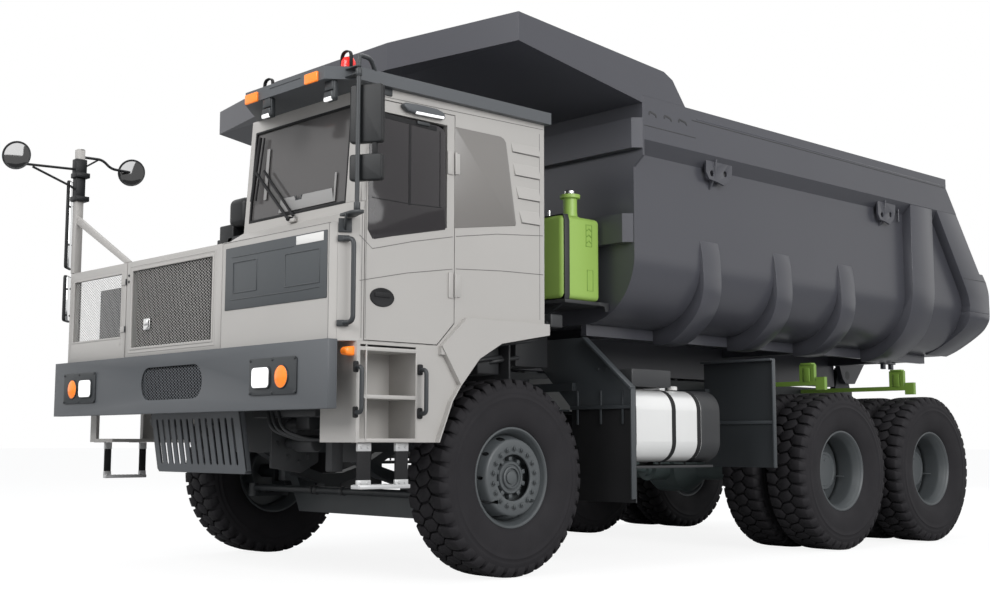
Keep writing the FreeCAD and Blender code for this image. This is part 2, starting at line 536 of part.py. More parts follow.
engine_block = box("engine_block", "-engine_half", "engine_half", "engine_front", "engine_rear",
                   "engine_low", "engine_high")
engine_feet = [box(f"engine_foot{n}", "engine_half", "rail_out - rail_web - gap", y, f"{y} + engine_foot",
                   "rail_low + rail_web + seat", "rail_low + foot_high")
               for n, y in ((1, "engine_front + foot_near"), (2, "engine_rear - foot_far"))]
far_feet = [mirror(f"{foot.Name}_twin", foot) for foot in engine_feet]
node("engine", fuse("engine_whole", engine_block, *engine_feet, *far_feet))

gear_rear = "engine_rear + gear_run"
gear_case = pad("gear_case", "YZ", [("engine_rear + seat", "gear_low"), (gear_rear, "gear_nose"),
                                    (gear_rear, "cross_low - 4 * swing"),
                                    ("engine_rear + seat", "cross_low - 2 * swing")],
                "-gear_half", "2 * gear_half")
joint_start = "axle_two - nose_reach - joint_run"
front_run = strut("shaft_one", "shaft_radius", ("0", f"{gear_rear} + seat", "shaft_high"),
                  ("0", f"{joint_start} + 2 * swing", "tyre_radius"))
joint_one = cylinder("joint_one", "Y", "joint_radius", "joint_run - seat", "0", joint_start, "tyre_radius")
rear_run = cylinder("shaft_two", "Y", "shaft_radius", "axle_gap - nose_reach - bowl_radius - 2 * seat", "0",
                    "axle_two + bowl_radius + seat", "tyre_radius")
node("gearbox_and_shafts", group("driveline", gear_case, fuse("shaft_front", front_run, joint_one), rear_run))

# ---------------------------------------------------------------- bumper and skid guard

bumper_block = box("bumper_block", "-bumper_half", "bumper_half", "bumper_front", "bumper_rear",
                   "bumper_low", "bumper_high")
bumper_hollow = box("bumper_hollow", "-bumper_half + bumper_wall", "bumper_half - bumper_wall",
                    "bumper_front + bumper_wall", "bumper_rear + play", "bumper_low + bumper_wall",
                    "bumper_high - bumper_wall")
oval_round = "((oval_high - oval_low) / 2)"
oval_front, oval_back = "bumper_front - play", "bumper_front + bumper_wall + play"
oval_middle = box("oval_middle", f"-oval_half + {oval_round}", f"oval_half - {oval_round}",
                  oval_front, oval_back, "oval_low", "oval_high")
oval_ends = [cylinder(f"oval_end{n}", "Y", oval_round, "bumper_wall + 2 * play", x, oval_front,
                      f"oval_low + {oval_round}")
             for n, x in ((1, f"-oval_half + {oval_round}"), (2, f"oval_half - {oval_round}"))]
bumper_shell = cut("bumper_shell", bumper_block, bumper_hollow, fuse("oval_cut", oval_middle, *oval_ends))
bumper_arms = [box(f"bumper_arm{n}", x0, x1, "bumper_front + bumper_wall", "rail_front - seat",
                   "cross_low", "cross_high")
               for n, x0, x1 in ((1, "rail_in", "rail_out"), (2, "-rail_out", "-rail_in"))]
lamp = box("lamp_pod", "lamp_x - lamp_half", "lamp_x + lamp_half", "bumper_front - lamp_proud", "bumper_front",
           "lamp_low", "lamp_high")
node("front_bumper", fuse("bumper_whole", bumper_shell, *bumper_arms, lamp, mirror("lamp_pod_twin", lamp)))

SLOTS = 14
skid_top = "rail_low - seat"
skid_plate = pad("skid_plate", "XZ", [("-skid_foot", "skid_low"), ("skid_foot", "skid_low"),
                                      ("skid_half", skid_top), ("-skid_half", skid_top)], "skid_y", "skid_wall")
slot_pitch = f"(2 * skid_foot / {SLOTS + 1})"
slots = [box(f"skid_slot{n}", f"-skid_foot + {slot_pitch} * {n + 1} - slot_half",
             f"-skid_foot + {slot_pitch} * {n + 1} + slot_half", "skid_y - play", "skid_y + skid_wall + play",
             "slot_low", "slot_high") for n in range(SLOTS)]
slotted = cut("skid_slotted", skid_plate, group("skid_slots", *slots))
side_wall = pad("skid_side", "YZ", [("skid_y", "skid_low"), ("skid_y + skid_heel", "skid_low"),
                                    ("skid_y + skid_depth", skid_top), ("skid_y", skid_top)],
                "skid_foot - skid_wall", "skid_wall")
shelf = box("skid_shelf", "-skid_half", "skid_half", "skid_y", "skid_y + skid_depth",
            f"{skid_top} - skid_wall", skid_top)
node("skid_guard", fuse("skid_whole", slotted, side_wall, mirror("skid_side_twin", side_wall), shelf))

# ---------------------------------------------------------------- front screens

def screen(name, x0, x1, low, sill):
    """A frame across the front whose opening holds a thin sheet of mesh."""
    outer = box(f"{name}_outer", x0, x1, "screen_front", "screen_rear", low, "screen_high")
    left, right, top = f"{x0} + bar_wide", f"{x1} - bar_wide", "screen_high - head_bar"
    inner = box(f"{name}_inner", left, right, "screen_front - play", "screen_rear + play", sill, top)
    mesh = box(f"{name}_mesh", f"{left} - mesh_lap", f"{right} + mesh_lap", "screen_front + mesh_set",
               "screen_front + mesh_set + mesh_wall", f"{sill} - mesh_lap", f"{top} + mesh_lap")
    return fuse(f"{name}_panel", cut(f"{name}_frame", outer, inner), mesh)


grille_axis = "(door_hinge - (door_hinge - fence_in) / 2)"
hinge_front = "(screen_front - hinge_stand)"
grille_levels = ("grille_sill + leaf_tall", "screen_high - 2 * leaf_tall")
screen_leaves, door_knuckles = [], []
for n, level in enumerate(grille_levels):
    top = f"{level} + leaf_tall"
    screen_leaves.append(box(f"fence_leaf{n}", "fence_in - leaf_run", f"{grille_axis} - hinge_stand + 2 - seat",
                             hinge_front, "screen_front", level, top))
    door_knuckles.append(box(f"grille_leaf{n}", grille_axis, f"{grille_axis} + leaf_run", hinge_front,
                             "screen_front", level, top))
    door_knuckles.append(cylinder(f"grille_barrel{n}", "Z", "hinge_stand - 2", "leaf_tall", grille_axis,
                                  hinge_front, level))
fence = screen("fence", "fence_out", "fence_in", "bumper_high + seat", "fence_sill")
grille = screen("grille", "door_hinge", "grille_left", "bumper_high + gap", "grille_sill")
node("fence_screen", fuse("fence_whole", fence, *screen_leaves))
node("grille_door", fuse("grille_whole", grille, *door_knuckles))
nose = pad("nose_sheet", "XY", [("grille_left + gap", "screen_front"), ("nose_left", "screen_front"),
                                ("nose_left + nose_flare", "screen_rear - seat"),
                                ("grille_left + gap", "screen_rear - seat")],
           "bumper_high + seat", "screen_high - bumper_high - seat")
node("nose_panel", nose)

# ---------------------------------------------------------------- cab

def cab_profile(inset):
    """The cab's side outline, drawn in by an inset."""
    slope = f"{inset} * 0.75"
    return [(f"screen_rear + {inset}", f"cab_low + {inset}"),
            (f"screen_rear + {inset}", f"screen_high - {inset} * 0.4"),
            (f"cowl_y + {slope}", f"cowl_high - {inset} * 0.4"),
            (f"brow_y + {inset}", f"cab_high - {inset}"),
            (f"cab_rear - {inset}", f"cab_high - {inset}"),
            (f"cab_rear - {inset}", f"flank_low + {inset}"),
            (f"flank_y - {inset} * 0.5", f"flank_low + {inset}"),
            (f"flank_y - flank_ramp - {inset} * 0.5", f"cab_low + {inset}")]


def corner_wedge(name, inset):
    """What the chamfered front corner takes away."""
    front = "screen_front - play"
    return pad(name, "XY", [(f"cab_out - chamfer_x - {inset}", front), ("cab_out + swing", front),
                            ("cab_out + swing", f"screen_front + chamfer_y + {inset} * 1.6"),
                            ("cab_out", f"screen_front + chamfer_y + {inset} * 1.6")],
               "cab_low - swing", "cab_high - cab_low + 2 * swing")


def grown(outline, middle, by):
    """The outline moved out from a middle point by a gap each way."""
    mid_a, mid_b = value(middle[0]), value(middle[1])
    return [(f"{a} {'+' if value(a) > mid_a else '-'} {by}", f"{b} {'+' if value(b) > mid_b else '-'} {by}")
            for a, b in outline]


door_outline = [("door_front", "door_low"), ("door_rear - door_heel", "door_low"),
                ("door_rear", "door_low + door_heel"), ("door_rear", "door_high"),
                ("door_front + door_lean", "door_high"), ("door_front", "door_high - door_shoulder")]
door_middle = ("(door_front + door_rear) / 2", "(door_low + door_high) / 2")
cab_block = cut("cab_block", pad("cab_outer", "YZ", cab_profile("0"), "cab_in", "cab_out - cab_in"),
                corner_wedge("cab_wedge", "0"))
cab_hollow = cut("cab_hollow", pad("cab_inner", "YZ", cab_profile("cab_wall"), "cab_in + cab_wall",
                                   "cab_out - cab_in - 2 * cab_wall"),
                 corner_wedge("cab_wedge_inner", "cab_wall"))
side_hole_start, side_hole_deep = "cab_out - cab_wall - play", "cab_wall + 2 * play"
doorway = pad("doorway", "YZ", grown(door_outline, door_middle, "gap"), side_hole_start, side_hole_deep)
windscreen_hole = box("windscreen_hole", "glass_in", "glass_out", "screen_rear", "brow_y + 4 * cab_wall",
                      "glass_low", "glass_high")
side_glass = [("side_glass_front", "side_glass_low"), ("side_glass_rear", "side_glass_knee"),
              ("side_glass_head", "side_glass_high"), ("side_glass_front", "side_glass_high")]
side_middle = ("(side_glass_front + side_glass_head) / 2", "(side_glass_knee + side_glass_high) / 2")
side_hole = pad("side_hole", "YZ", side_glass, side_hole_start, side_hole_deep)
far_hole = box("far_hole", "cab_in - play", "cab_in + cab_wall + play", "far_glass_front", "far_glass_rear",
               "far_glass_low", "side_glass_high")
back_hole = box("back_hole", "cab_in + back_glass_edge", "cab_out - back_glass_edge",
                "cab_rear - cab_wall - play", "cab_rear + play", "back_glass_low", "back_glass_high")
cab_walls = cut("cab_walls", cab_block, cab_hollow, doorway, windscreen_hole, side_hole, far_hole, back_hole)
hinge_side = ("(cab_out + hinge_stand)", "(door_rear + 4)")
hinge_levels = ("lower_hinge", "upper_hinge")


def hinge_leaf(name, y0, y1, level):
    """A hinge leaf flat on the cab's side."""
    return box(name, "cab_out", "cab_out + hinge_stand", y0, y1, level, f"{level} + leaf_tall")


fixed_leaves = [hinge_leaf(f"fixed_leaf{n}", f"{hinge_side[1]} + hinge_stand - 2 + seat",
                           f"{hinge_side[1]} + leaf_run", level) for n, level in enumerate(hinge_levels)]
node("cab_shell", fuse("cab_shell_whole", cab_walls, *fixed_leaves))

rake = "((brow_y - cowl_y) / (cab_high - cowl_high))"
pane_low, pane_high = "glass_low + seat", "glass_high - seat"
pane_foot = f"(cowl_y + pane_set + (glass_low - cowl_high) * {rake})"
pane_head = f"(brow_y + pane_set - (cab_high - glass_high) * {rake})"
screen_pane = pad("screen_pane", "YZ", [(pane_foot, pane_low), (f"{pane_foot} + pane", pane_low),
                                        (f"{pane_head} + pane", pane_high), (pane_head, pane_high)],
                  "glass_in + seat", "glass_out - glass_in - 2 * seat")
side_pane = pad("side_pane", "YZ", grown(side_glass, side_middle, "-seat"), "cab_out - pane_set", "pane")
far_pane = box("far_pane", "cab_in + pane_set", "cab_in + pane_set + pane", "far_glass_front + seat",
               "far_glass_rear - seat", "far_glass_low + seat", "side_glass_high - seat")
back_pane = box("back_pane", "cab_in + back_glass_edge + seat", "cab_out - back_glass_edge - seat",
                "cab_rear - pane_set - pane", "cab_rear - pane_set", "back_glass_low + seat",
                "back_glass_high - seat")
node("cab_windows", group("panes", screen_pane, side_pane, far_pane, back_pane))

door_glass = [("door_glass_front", "door_glass_low"), ("door_glass_rear", "door_glass_knee"),
              ("door_glass_rear", "door_glass_high"), ("door_glass_front", "door_glass_high")]
door_leaf = pad("door_leaf", "YZ", door_outline, "cab_out - door_wall", "door_wall")
door_hole = pad("door_hole", "YZ", door_glass, "cab_out - door_wall - play", "door_wall + 2 * play")
door_leaves = [hinge_leaf(f"door_leaf{n}", f"{hinge_side[1]} - leaf_run", hinge_side[1], level)
               for n, level in enumerate(hinge_levels)]
door_barrels = [cylinder(f"door_barrel{n}", "Z", "hinge_stand - 2", "leaf_tall", *hinge_side, level)
                for n, level in enumerate(hinge_levels)]
node("cab_door", fuse("door_whole", cut("door_cut", door_leaf, door_hole), *door_leaves, *door_barrels))
glass_middle = ("(door_glass_front + door_glass_rear) / 2", "(door_glass_knee + door_glass_high) / 2")
node("door_glass", pad("door_pane", "YZ", grown(door_glass, glass_middle, "-seat"), "cab_out - door_pane_set",
                       "pane"))

visor_plan = [("visor_in", "visor_rear"), ("visor_in", "visor_turn"), ("visor_far", "visor_front"),
              ("visor_near", "visor_front"), ("visor_out", "visor_corner"), ("visor_out", "visor_rear")]
node("cab_roof_visor", pad("visor_plate", "XY", visor_plan, "cab_high + seat", "visor_wall - seat"))

seat_in, seat_out = "seat_x - seat_half", "seat_x + seat_half"
seat_rear = "seat_y + seat_front"
seat_base = box("seat_base", "seat_x - seat_foot", "seat_x + seat_foot", "seat_y - seat_foot - 2 * swing",
                "flank_y - flank_ramp - cab_wall", "cab_low + cab_wall + seat", "seat_low")
cushion = box("cushion", seat_in, seat_out, "seat_y - seat_front", f"{seat_rear} - 2 * swing", "seat_low",
              "cushion_high")
backrest = box("backrest", seat_in, seat_out, f"{seat_rear} - back_wall", seat_rear, "cushion_high",
               "back_high")
node("driver_seat", fuse("seat_whole", seat_base, cushion, backrest))
dash_front, dash_floor = "screen_rear + cab_wall + seat", "cab_low + cab_wall + seat"
dash = pad("dash", "YZ", [(dash_front, dash_floor), ("dash_rear", dash_floor), ("dash_knee", "dash_high"),
                          ("dash_brow", "dash_crown"), ("dash_lip", "dash_high"), (dash_front, "dash_low")],
           "cab_in + cab_wall + seat", "dash_run")
wheel_spot = ("seat_x", "wheel_y", "wheel_z")
column = strut("column", "column_radius", ("seat_x", "dash_rear", "column_low"), wheel_spot)
rim_ring = doc.addObject("Part::Torus", "rim_ring")
rim_ring.setExpression("Radius1", bound("wheel_radius"))
rim_ring.setExpression("Radius2", bound("wheel_rim"))
place(rim_ring, *wheel_spot, FreeCAD.Rotation(FreeCAD.Vector(0, 0, 1), FreeCAD.Vector(0, 1, 1)))
spokes = box("spokes", "seat_x - wheel_radius", "seat_x + wheel_radius", "wheel_y - spoke_half",
             "wheel_y + spoke_half", "wheel_z - spoke_half", "wheel_z + spoke_half")
node("steering_console", fuse("steering_whole", dash, column, rim_ring, spokes))

# ---------------------------------------------------------------- fenders and steps

arch_steep = [("arch_foot", "apron_low"), ("arch_heel_y", "arch_heel")]
arch_rise = ("arch_low_y", "arch_low")
arch_top = [("arch_bend_y", "arch_bend"), ("arch_mid_y", "arch_mid"), ("flare_rear", "arch_high")]
apron_high = "cab_low - seat"


def fender(out):
    """The apron beside the front wheel with its boarding steps, flare and arch liner."""
    skin_out = f"{out} - sheet"
    skin = pad("apron_skin", "YZ", [("nose_y", "apron_low"), *arch_steep, arch_rise, arch_top[0],
                                    ("arch_bend_y + 4 * sheet", apron_high), ("nose_y", apron_high)],
               skin_out, "sheet")
    recess = box("step_recess", f"{skin_out} - play", f"{out} + play", "nose_y - play", "step_rear",
                 "apron_low - play", "cab_low - recess_head")
    open_skin = cut("apron_open", skin, recess)
    flare = pad("flare", "YZ", [arch_rise] + arch_top + [("flare_rear", "flare_high"),
                                                         ("flare_front", "flare_high - flare_dip"),
                                                         ("flare_heel", "cab_low")],
                f"{out} + seat", "flare_proud")
    root = box("flare_root", skin_out, f"{out} + sheet", "flare_heel", "arch_low_y",
               f"{apron_high} - 2 * sheet", apron_high)
    front = box("apron_front", f"{out} - nose_deep", out, "nose_y", "nose_y + sheet", "apron_low", apron_high)
    wall_out = f"{out} - step_deep"
    wall_in = f"{wall_out} - step_wall"
    back = box("step_wall", wall_in, wall_out, "nose_y + sheet", "step_rear", "apron_low", apron_high)
    rear = box("step_end", wall_in, out, "step_rear", "step_rear + step_wall", "apron_low", apron_high)
    treads = [box(f"step_tread{n}", wall_out, out, "nose_y + sheet", "step_rear", low, f"{low} + tread_wall")
              for n, low in ((1, "apron_low"), (2, "tread_two"), (3, "tread_three"))]
    strap_out = f"{out} - strap_in"
    straps = [box(f"step_strap{n}", strap_out, f"{strap_out} + strap_wall", y, f"{y} + strap_wide",
                  "hang_low", "apron_low")
              for n, y in ((1, "nose_y + swing"), (2, "step_rear - strap_wide - strap_set"))]
    rung = box("step_rung", f"{out} - rung_in", f"{out} - rung_out", "nose_y + swing",
               "step_rear - strap_set", "hang_low - rung_wall", "hang_low")
    lift = [(y, f"{z} + liner_wall") for y, z in reversed([arch_rise] + arch_top)]
    lean = [(f"{y} - liner_wall", z) for y, z in reversed(arch_steep)]
    liner = pad("arch_liner", "YZ", arch_steep + [arch_rise] + arch_top + lift + lean, "liner_in",
                f"{out} + flare_proud - liner_in")
    stay = box("liner_stay", "rail_out + seat", "liner_in + sheet", "arch_low_y + 5 * sheet",
               "arch_low_y + 7 * sheet", "arch_low + 5 * sheet", "arch_low + 7 * sheet")
    return fuse("apron_whole", open_skin, flare, root, front, back, rear, *treads, *straps, rung, liner, stay)


node("left_fender", fender("cab_out"))
node("right_fender", mirror("right_apron", fender("far_apron")))

# ---------------------------------------------------------------- deck over the engine

walk_line = [("screen_rear + seat", "cab_low"), ("flank_y - flank_ramp", "cab_low"), ("flank_y", "flank_low"),
             ("flare_rear", "flank_low")]
walk_top = [(y, f"{z} + walk_wall") for y, z in reversed(walk_line)]
walk = pad("walk_plate", "YZ", walk_line + walk_top, "-far_side", "far_side + hood_in")
hood_left, hood_front = "cab_in - gap", "screen_rear + seat"
hood = box("hood_top", "hood_in", hood_left, hood_front, "hood_rear", "screen_high - 2 * deck_wall",
           "screen_high")
hood_side = box("hood_side", "hood_in", "hood_in + deck_wall", hood_front, "hood_rear", "cab_low",
                "screen_high - deck_wall")
hood_back = box("hood_back", "hood_in", hood_left, "hood_rear - deck_wall", "hood_rear", "engine_high + swing",
                "screen_high - deck_wall")
front_beam = box("front_deck_beam", "-beam_in", "beam_end", hood_front, "screen_rear + beam_wide", "rail_high",
                 "cab_low")
rear_beams = [box(f"rear_deck_beam{n}", x0, x1, "beam_rear - beam_wide", "beam_rear", "rail_high", "cab_low")
              for n, x0, x1 in ((1, "seat - liner_in", "-rail_in"), (2, "rail_in", "beam_end"))]
node("engine_deck", group("deck_set", fuse("deck_whole", walk, hood, hood_side, hood_back, front_beam,
                                           rear_beams[0]), rear_beams[1]))
node("radiator", box("radiator_core", "core_right", "core_left", "screen_rear + core_set",
                     "screen_rear + core_set + core_wall", "cab_low + seat", "screen_high - core_set"))
filter_top = "screen_high + filter_base"
filter_foot = box("air_filter_foot", "filter_x - filter_foot", "filter_x + filter_foot",
                  "filter_y - filter_radius", "filter_y + filter_radius", "screen_high + seat", filter_top)
filter_body = cylinder("air_filter_body", "Z", "filter_radius", "filter_tall", "filter_x", "filter_y",
                       filter_top)
node("air_filter", fuse("air_filter_whole", filter_foot, filter_body))
node("deck_box", box("deck_locker", "locker_out", "locker_in", "screen_rear + locker_set",
                     "screen_rear + locker_set + locker_run", "cab_low + walk_wall + seat", "locker_high"))

# ---------------------------------------------------------------- mirrors

DISH_FACES = FreeCAD.Vector(0.945, -0.327, 0)
mast_x, mast_y = "(fence_out + tube_in)", "(screen_front + mast_wide / 2)"
near_disc = f"(-front_reach + disc_radius * {DISH_FACES.x} - dish_wall * {DISH_FACES.y})"


def round_mirror(name, station):
    """A convex disc that faces the driver."""
    dish = doc.addObject("Part::Cylinder", name)
    dish.setExpression("Radius", bound("disc_radius"))
    dish.setExpression("Height", bound("dish_wall"))
    return place(dish, mast_x, station, "disc_z", FreeCAD.Rotation(FreeCAD.Vector(0, 0, 1), DISH_FACES))


post = box("mast_post", "fence_out", "fence_out + mast_wide", "screen_front", "screen_front + mast_wide",
           "screen_high + seat", "mast_high")
brace = pad("mast_brace", "XZ", [("fence_out + mast_wide", "brace_low"), ("brace_foot", "screen_high + seat"),
                                 ("brace_toe", "screen_high + seat"), ("fence_out + mast_wide", "brace_high")],
            "screen_front + swing", "screen_rear - screen_front - swing")
arms = [strut("near_arm", "arm_radius", (mast_x, near_disc, "disc_z - disc_drop"),
              (mast_x, mast_y, "disc_z - arm_sag")),
        strut("near_stay", "arm_radius", (mast_x, f"{near_disc} + stay_back", "disc_z - disc_drop"),
              (mast_x, mast_y, "disc_z - stay_sag")),
        strut("far_arm", "arm_radius", (mast_x, mast_y, "disc_z + tube_in"), (mast_x, "far_disc", "disc_z"))]
FAR_HEADING, NEAR_HEADING = -40, 30
far_edge = ("-mirror_reach", "screen_front + mirror_back")
tall = slab("tall_mirror", "mirror_wide", "mirror_wall", "tall_run", *far_edge, "tall_low", FAR_HEADING)
short = slab("short_mirror", "mirror_wide", "mirror_wall", "short_run", *far_edge, "short_low", FAR_HEADING)


def mirror_stay(name, end, level):
    """A short bar between a far-side mirror and what carries it."""
    return box(name, "-mirror_reach + stay_in + 4 * swing", end, "screen_front + swing",
               "screen_front + swing + stay_wide", level, f"{level} + stay_wide")


post_stays = [mirror_stay(f"post_stay{n}", "fence_out + gap", level)
              for n, level in ((1, "tall_low + stay_sag"), (2, "tall_low + tall_run - stay_sag"))]
fence_stays = [mirror_stay(f"fence_stay{n}", "fence_out - seat", level)
               for n, level in ((1, "short_low + arm_sag"), (2, "short_low + short_run - 2 * arm_sag"))]
dishes = [round_mirror("near_dish", near_disc), round_mirror("far_dish", "far_disc")]
mast = fuse("mast_whole", post, brace, *dishes, *arms, tall, *post_stays)
node("mirror_mast", group("mast_set", mast, fuse("short_mirror_whole", short, *fence_stays)))

tube_foot = "screen_high + 3 * tube_radius"
near_tube = cylinder("near_tube", "Z", "tube_radius", "cab_high - screen_high + 5 * tube_radius", "tube_out",
                     "tube_front", tube_foot)


def near_shelf(name, roots, low):
    """A flat bracket from a sloping edge of the cab out to the mirror tube."""
    return pad(name, "XY", roots + [("tube_out + 2 * tube_radius", "tube_front"),
                                    ("tube_out", "tube_front - 2 * tube_radius")], low, "shelf_wall")


on_chamfer = [(f"cab_out - {run} + seat", f"screen_front + (chamfer_x - {run}) * chamfer_y / chamfer_x")
              for run in ("shelf_long", "shelf_short")]
on_visor = [(f"visor_out - {run} + seat",
             f"visor_corner + {run} * (visor_front - visor_corner) / (visor_out - visor_near)")
            for run in ("shelf_long", "shelf_short")]
shelves = [near_shelf("near_foot_shelf", on_chamfer, tube_foot),
           near_shelf("near_head_shelf", on_visor, "cab_high + tube_radius")]
near_mirrors = [slab(name, "near_wide", "near_wall", tall, "near_in", "near_ahead", foot, NEAR_HEADING)
                for name, tall, foot in (("wide_mirror", "near_tall", "near_low"),
                                         ("small_mirror", "near_short", "near_foot"))]
links = [box(name, "tube_out - tube_radius / 2", "tube_out + tube_radius / 2", "tube_front",
             "tube_front + link_deep", f"{foot} + shelf_long", f"{foot} + 2 * shelf_long")
         for name, foot in (("wide_link", "near_low"), ("small_link", "near_foot"))]
node("left_mirrors", fuse("near_mirror_whole", near_tube, *shelves, *near_mirrors, *links))

# ---------------------------------------------------------------- tanks, guards and green bars

def tank():
    """A polished tank on two cradles beside the rail."""
    corners = [("tank_in", "tank_low"), ("tank_out", "tank_low"), ("tank_out", "tank_high"),
               ("tank_in", "tank_high")]
    shell = pad("tank_shell", "XZ", corners, "tank_front", "tank_rear - tank_front",
                [(n, "tank_round") for n in range(4)])
    cradles = [box(f"tank_cradle{n}", "rail_out + seat", "tank_in + cradle_lap", y, f"{y} + cradle_wide",
                   "cradle_low", "cradle_high")
               for n, y in ((1, "cradle_one"), (2, "cradle_two"))]
    return fuse("tank_whole", shell, *cradles)


node("fuel_tanks", both("tanks", tank()))

oil = pad("oil_tank", "XZ", [("oil_in", "oil_low"), ("oil_out", "oil_low"), ("oil_out", "oil_high"),
                             ("oil_in", "oil_high")], "oil_front", "oil_rear - oil_front",
          [(n, "oil_round") for n in range(4)])
filler = cylinder("oil_filler", "Z", "neck_radius", "neck_rise + swing", "oil_out - neck_in",
                  "oil_front + neck_back", "oil_high - swing")
stand_ends = ("oil_front + stand_set", "oil_rear - stand_set")
stand_top = box("oil_shelf", "rail_in + stand_in", "oil_out - stand_in", *stand_ends,
                "oil_low - stand_wall", "oil_low")
stand_post = box("oil_post", "rail_in + stand_in", "rail_out", *stand_ends, "rail_high + seat", "oil_low")
shelf_foot = "oil_low - stand_wall"
stand_web = pad("oil_web", "XZ", [("rail_out", "rail_high + stand_set"), ("oil_out - stand_in", shelf_foot),
                                  ("rail_out", shelf_foot)], "oil_front + stand_set", "stand_wall")
node("hydraulic_tank", fuse("oil_whole", oil, filler, stand_top, stand_post, stand_web))


def guard_bracket(name, start):
    """The bar that carries a guard plate from the rail."""
    return box(name, "rail_out + seat", "guard_in + bracket_lap", start, f"{start} + bracket_lap",
               "bracket_low", "bracket_high")


guard_outline = [("guard_in", "flap_low"), ("guard_out", "flap_low"), ("guard_out", "guard_cut"),
                 ("guard_in + guard_crest", "guard_peak"), ("guard_in", "guard_peak")]
front_plate = pad("front_guard_plate", "XZ", guard_outline, "guard_y", "guard_wall")
wing_plate = box("wing_plate", "guard_in", "wing_out", "wing_y", "wing_y + guard_wall", "wing_low", "wing_high")
node("mud_guards", both("guards", group(
    "guard_set", fuse("front_guard", front_plate, guard_bracket("front_bracket", "guard_y - bracket_lap")),
    fuse("rear_guard", wing_plate, guard_bracket("rear_bracket", "wing_y - bracket_lap")))))


def green_bar(name, station):
    """A bar over an axle, with an inverted U clamp and an end fitting."""
    near, far = f"{station} - bar_half", f"{station} + bar_half"
    low, high = "bar_z - bar_half", "bar_z + bar_half"
    bar = box(f"{name}_bar", "rail_out + seat", "bar_end", near, far, low, high)
    knob = box(f"{name}_knob", "knob_in", "knob_out", near, far, "knob_low", "knob_high")
    legs = [box(f"{name}_leg{n}", x, f"{x} + clamp_wall", near, far, low, "clamp_high")
            for n, x in ((1, "clamp_in"), (2, "clamp_out - clamp_wall"))]
    crown = box(f"{name}_crown", "clamp_in", "clamp_out", near, far, "clamp_high - clamp_wall", "clamp_high")
    return fuse(f"{name}_whole", bar, knob, *legs, crown)


node("rock_ejectors", both("ejectors", group("ejector_set", *[green_bar(f"{axle}_green", station)
                                                              for axle, station in AXLES])))

# ---------------------------------------------------------------- dump body

def tub_solid(name, inset, start, end):
    """The body's rounded section, drawn in by an inset, between two stations."""
    half, radius = f"(tub_half - {inset})", f"tub_round - {inset}"
    outline = [(f"-{half}", f"tub_low + {inset}"), (half, f"tub_low + {inset}"), (half, "band_high"),
               (f"-{half}", "band_high")]
    return pad(name, "XZ", outline, start, f"{end} - ({start})", [(0, radius), (1, radius)])


def tail_cut(name):
    """What the sloping tail takes off the body's sides."""
    above, behind = "band_high + swing", "tail_reach + swing"
    return pad(name, "YZ", [("tail_top", above), ("tail_top", "lip_low"), ("tail_knee", "knee_z"),
                            ("tail_reach - chin_run", "knee_z"), ("tail_reach", "knee_z - tail_chin"),
                            (behind, "knee_z - tail_chin"), (behind, above)],
               "-band_out - swing", "2 * (band_out + swing)")


def side_band(name, near, far, foot):
    """The box section along the body's top edge, with a sloping underside."""
    outline = [(near, foot), (far, "band_low"), (far, "band_high"), (near, "band_high")]
    return pad(name, "XZ", outline, "tub_front + tub_wall", "tail_reach - tub_front - tub_wall")


tub_shell = cut("tub_shell", tub_solid("tub_outer", "0", "tub_front + tub_wall", "tail_reach"),
                tub_solid("tub_inner", "tub_wall", "tub_front", "tail_reach + swing"), tail_cut("tail_off_tub"))
band = cut("band", side_band("band_block", "tub_half", "band_out", "band_low - band_out + tub_half"),
           tail_cut("tail_off_band"))
node("dump_tub", fuse("tub_whole", tub_shell, band, mirror("band_twin", band)))


def cross_beam(name, half, low, high):
    """A pressed beam across the front wall, its ends chamfered."""
    outline = [(f"-({half})", "tub_front"), (f"-({half}) + beam_chamfer", "tub_front - beam_deep"),
               (f"{half} - beam_chamfer", "tub_front - beam_deep"), (half, "tub_front")]
    return pad(name, "XY", outline, low, f"{high} - {low}")


brow_wing = pad("brow_wing", "XZ", [("tub_half", "brow_low - brow_rise"), ("band_out", "brow_low"),
                                    ("band_out", "band_high"), ("tub_half", "band_high")],
                "tub_front", "tub_wall")
cross_beams = [cross_beam("upper_beam", "band_out", "upper_low", "upper_high"),
               cross_beam("lower_beam", "lower_half", "lower_low", "lower_high")]
front_plate = tub_solid("front_wall", "0", "tub_front", "tub_front + tub_wall")
node("dump_front_wall", fuse("front_wall_whole", front_plate, brow_wing, mirror("brow_wing_twin", brow_wing),
                             *cross_beams))

roof_line = [("canopy_front", "canopy_high"), ("canopy_rear", "canopy_fall"), ("canopy_bend", "bend_high"),
             ("canopy_foot", "band_high + seat")]
canopy_side = [("canopy_front", "canopy_lip")] + roof_line + [("tub_front - play", "band_high + seat"),
                                                             ("tub_front - play", "canopy_floor")]
flank = pad("canopy_flank", "YZ", canopy_side, "band_out - canopy_wall", "canopy_wall")
roof_outline = roof_line + [("canopy_foot - canopy_wall * 1.5", "band_high + seat"),
                            ("canopy_bend - canopy_wall * 0.6", "bend_high - canopy_wall"),
                            ("canopy_rear - canopy_wall * 0.4", "canopy_fall - canopy_wall"),
                            ("canopy_front", "canopy_high - canopy_wall")]
roof = pad("canopy_roof", "YZ", roof_outline, "-band_out", "2 * band_out")
ceiling_line = [("canopy_front", "canopy_lip"), ("tub_front - play", "canopy_floor")]
ceiling_top = [(y, f"{z} + canopy_wall") for y, z in reversed(ceiling_line)]
ceiling = pad("canopy_ceiling", "YZ", ceiling_line + ceiling_top, "-band_out", "2 * band_out")
peak_outline = [("-band_out", "canopy_front"), ("-nose_half", "canopy_nose"), ("nose_half", "canopy_nose"),
                ("band_out", "canopy_front")]
